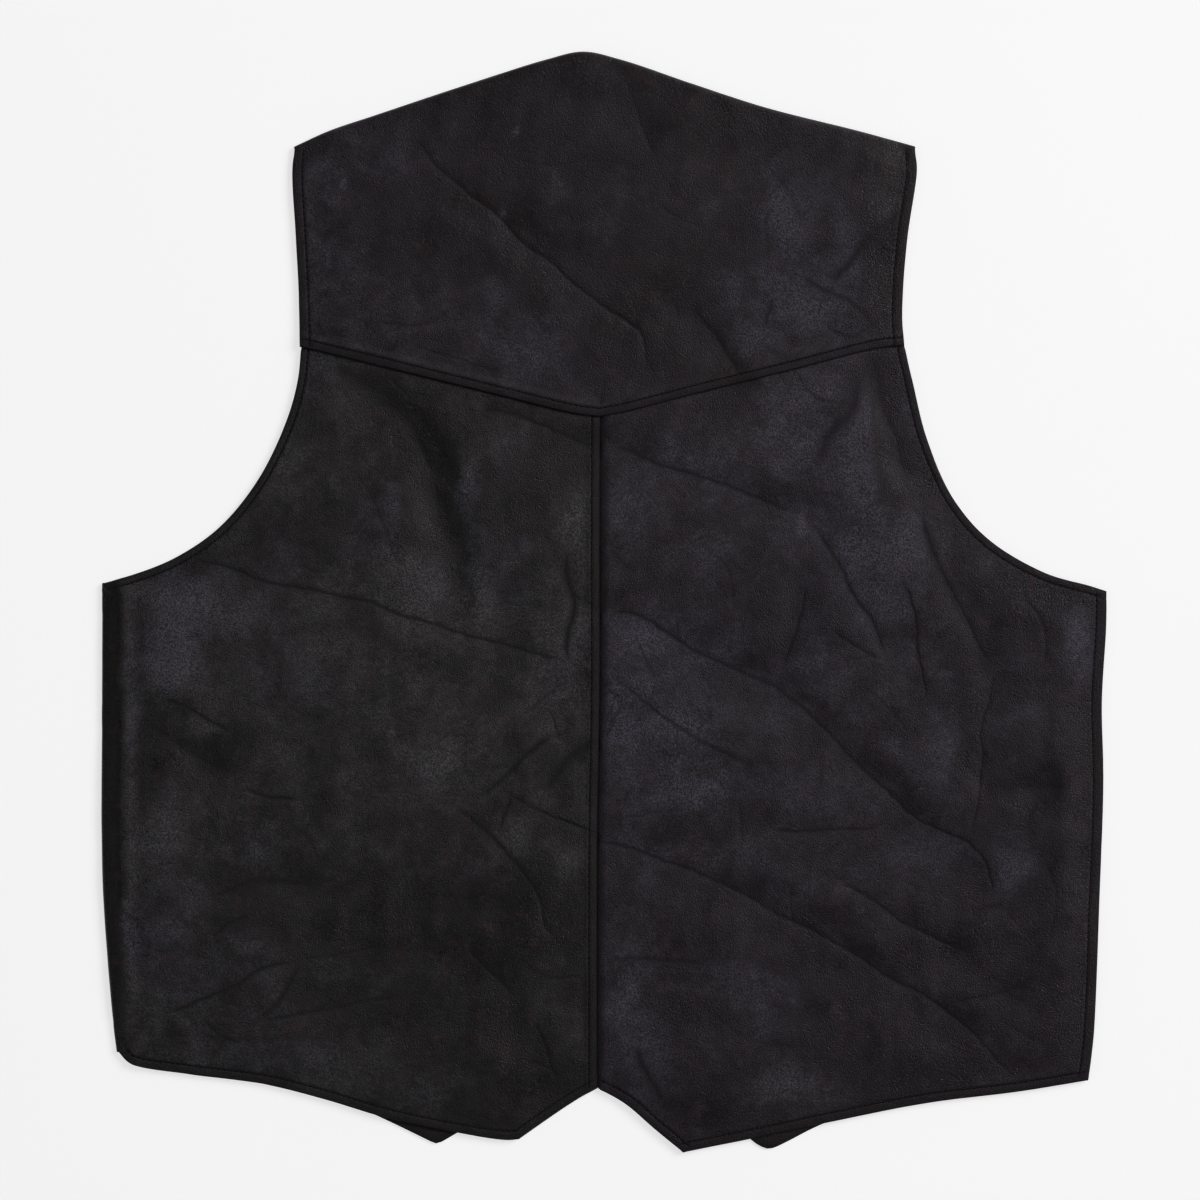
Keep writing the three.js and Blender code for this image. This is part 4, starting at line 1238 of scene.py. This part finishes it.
def dressed(name, node, grids, face, hide, free_edges):
    """A piece of the back and its stitches, which keep clear of its free edges."""
    leather = leather_piece(f"{name}_leather", node, grids, face, hide)
    keep = away_from_edges([LINES[edge] for edge in free_edges], STITCH_CLEARANCE)
    sewing = stitches(f"{name}_stitching", face.stitch_lines, keep, face.height, thread, PROUD)
    return leather, sewing


def back_yoke():
    seam = cornered(EDGES["seam left"], EDGES["seam right"], corner=0.5)
    insets = {"bottom": RIM, "top": 0, "left": TURNED_RIM, "right": TURNED_RIM}
    top = roll_start("shoulder", yoke_face.height)
    grid = four_sided(seam, top, EDGES["yoke left"], EDGES["yoke right"], insets, YOKE_CELLS)
    grids = sheet_grids(grid, yoke_face.height)
    outward = level(left_of(EDGES["shoulder"], np.linspace(0, 1, grid.shape[1])))
    grids = with_roll(grids, *roll(grids[0][-1], outward), axis=0, before=False)
    free_edges = ("yoke left", "yoke right", "shoulder")
    return dressed("yoke", "back_yoke", grids, yoke_face, yoke_leather, free_edges)


def back_left_panel():
    armhole = curve_through([*ARMHOLE_LEFT, TUCK_LEFT])
    lap = moved_left(EDGES["seam left"], YOKE_LAP)
    top = cornered(armhole, pinned(lap, np.array(TUCK_LEFT), lap(1)), corner=0.52)
    bottom = cornered(EDGES["hem left"], EDGES["notch left"], corner=0.8)
    left = roll_start("side left", left_face.height)
    right = moved_left(EDGES["centre"], SEAM_GAP / 2)
    insets = {"bottom": TURNED_RIM, "top": TURNED_RIM, "left": 0, "right": RIM}
    grid = four_sided(bottom, top, left, right, insets, PANEL_CELLS)
    grids = sheet_grids(grid, left_face.height)
    outward = level(left_of(EDGES["side left"], np.linspace(0, 1, grid.shape[0])))
    grids = with_roll(grids, *roll(grids[0][:, 0], outward), axis=1, before=True)
    free_edges = ("armhole left", "hem left", "notch left", "side left")
    return dressed("left_back", "back_left_panel", grids, left_face, left_leather, free_edges)


def back_right_panel():
    armhole = curve_through([TUCK_RIGHT, *ARMHOLE_RIGHT])
    lap = moved_left(EDGES["seam right"], YOKE_LAP)
    top = cornered(pinned(lap, lap(0), np.array(TUCK_RIGHT)), armhole, corner=0.48)
    bottom = cornered(EDGES["notch right"], EDGES["hem right"], corner=0.2)
    left = moved_left(EDGES["centre"], ALLOWANCE_UNDER)
    insets = {"bottom": TURNED_RIM, "top": TURNED_RIM, "left": RIM, "right": TURNED_RIM}
    grid = four_sided(bottom, top, left, EDGES["side right"], insets, PANEL_CELLS)
    grids = sheet_grids(grid, right_face.height)
    free_edges = ("armhole right", "hem right", "notch right", "side right")
    return dressed("right_back", "back_right_panel", grids, right_face, right_leather, free_edges)


# The fronts

def front(side, bottom, top, left, right, creases):
    """One front and its stitches, along the hem, the opening, the neck and the armhole."""
    borders = [sampled(curve, spacing=6) for curve in (bottom, top, left, right)]
    lines = [
        sampled(moved_left(bottom, HEM_STITCH), spacing=6),
        sampled(moved_left(left, -HEM_STITCH), spacing=6),
        sampled(moved_left(right, HEM_STITCH), spacing=6),
    ]
    face = FrontFace(creases, lines, borders)
    insets = {name: RIM for name in ("bottom", "top", "left", "right")}
    grid = four_sided(bottom, top, left, right, insets, FRONT_CELLS)[:, ::-1]
    outer = raised(grid, face.height)
    down = np.broadcast_to([0.0, 0.0, -1.0], outer.shape)
    grids = (outer, down, LEATHER - outer[..., 2], np.ones(grid.shape[:2]))
    leather = leather_piece(f"{side}_front_leather", f"front_{side}", grids, face, front_leather)
    keep = away_from_edges(borders, FRONT_STITCH_CLEARANCE)
    sewing = stitches(f"{side}_front_stitching", lines, keep, face.height, thread, FRONT_PROUD, side=-1)
    return leather, sewing


def between(start, end):
    """A straight run between two points."""
    return curve_through([tuple(start), tuple(end)])


def left_front():
    side = stretch(moved_left(EDGES["side left"], -(TURN_UNDER + SEAM_GAP)), LEFT_SIDE_STRETCH)
    shoulder = stretch(moved_left(EDGES["shoulder"], -(TURN_UNDER + SEAM_GAP)), LEFT_SHOULDER_STRETCH)
    neck = joined(curve_through(OPENING_LEFT), curve_through(NECK_LEFT), between(NECK_LEFT[-1], shoulder(1)))
    outer_side = joined(side, curve_through(FRONT_ARMHOLE_LEFT), between(FRONT_ARMHOLE_LEFT[-1], shoulder(0)))
    hem = joined(curve_through(FRONT_HEM_LEFT), curve_through(FRONT_POINT_LEFT),
                 between(FRONT_POINT_LEFT[-1], OPENING_LEFT[0]))
    return front("left", hem, shoulder, outer_side, neck, LEFT_FRONT_CREASES)


def right_front():
    side = stretch(moved_left(EDGES["side right"], SEAM_GAP), RIGHT_SIDE_STRETCH)
    shoulder = stretch(moved_left(EDGES["shoulder"], -(TURN_UNDER + SEAM_GAP)), RIGHT_SHOULDER_STRETCH)
    neck = joined(curve_through(OPENING_RIGHT), curve_through(NECK_RIGHT),
                  between(NECK_RIGHT[-1], shoulder(0)))
    outer_side = joined(side, curve_through(FRONT_ARMHOLE_RIGHT),
                        between(FRONT_ARMHOLE_RIGHT[-1], shoulder(1)))
    hem = joined(between(OPENING_RIGHT[0], FRONT_POINT_RIGHT[0]), curve_through(FRONT_POINT_RIGHT),
                 curve_through(FRONT_HEM_RIGHT))
    return front("right", hem, shoulder, neck, outer_side, RIGHT_FRONT_CREASES)


left_front_pieces = left_front()
right_front_pieces = right_front()
left_back_pieces = back_left_panel()
right_back_pieces = back_right_panel()
yoke_pieces = back_yoke()


# The studio: a pale floor, a large soft light from the upper right, a weaker one opposite, and a dim dome

def floor():
    size, drop = 8.0, 0.0003
    mesh = bpy.data.meshes.new("floor")
    corners = [(-size, -size, -drop), (size, -size, -drop), (size, size, -drop), (-size, size, -drop)]
    mesh.from_pydata(corners, [], [(0, 1, 2, 3)])
    material = bpy.data.materials.new("pale floor")
    material.use_nodes = True
    surface = material.node_tree.nodes["Principled BSDF"]
    surface.inputs["Base Color"].default_value = (0.5, 0.5, 0.5, 1)
    surface.inputs["Roughness"].default_value = 1.0
    surface.inputs["Specular IOR Level"].default_value = 0.0
    surface.inputs["Emission Color"].default_value = (1, 1, 1, 1)
    surface.inputs["Emission Strength"].default_value = FLOOR_GLOW
    mesh.materials.append(material)
    piece = bpy.data.objects.new("floor", mesh)
    bpy.context.scene.collection.objects.link(piece)


def soft_light(name, place, size, power):
    light = bpy.data.lights.new(name, "AREA")
    light.shape = "RECTANGLE"
    light.size, light.size_y = size
    light.energy = power
    lamp = bpy.data.objects.new(name, light)
    lamp.location = place
    lamp.rotation_euler = (-Vector(place)).to_track_quat("-Z", "Y").to_euler()
    bpy.context.scene.collection.objects.link(lamp)


def dome():
    world = bpy.data.worlds.new("dim dome")
    world.use_nodes = True
    nodes = Nodes(world.node_tree)
    direction = nodes.add("ShaderNodeTexCoord").outputs["Generated"]
    up = nodes.add("ShaderNodeSeparateXYZ", Vector=direction).outputs["Z"]
    bright = nodes.ranged(nodes.maths("ABSOLUTE", up), 0.0, 0.8, DOME_HORIZON, DOME_ZENITH)
    background = world.node_tree.nodes["Background"]
    background.inputs["Color"].default_value = (1, 1, 1, 1)
    nodes.feed(background.inputs["Strength"], bright)
    bpy.context.scene.world = world


def camera():
    distance = 3.0
    view = bpy.data.cameras.new("above")
    view.lens = view.sensor_width * distance / FRAME_WIDTH
    lens = bpy.data.objects.new("above", view)
    lens.location = (*FRAME_CENTRE, distance)
    bpy.context.scene.collection.objects.link(lens)
    bpy.context.scene.camera = lens


camera()
floor()
soft_light("key", (4.0, 2.3, 3.6), (2.8, 2.8), 199)
soft_light("fill", (-3.2, -1.8, 3.2), (3.2, 3.2), 12)
dome()
bpy.context.scene.view_settings.view_transform = "Standard"
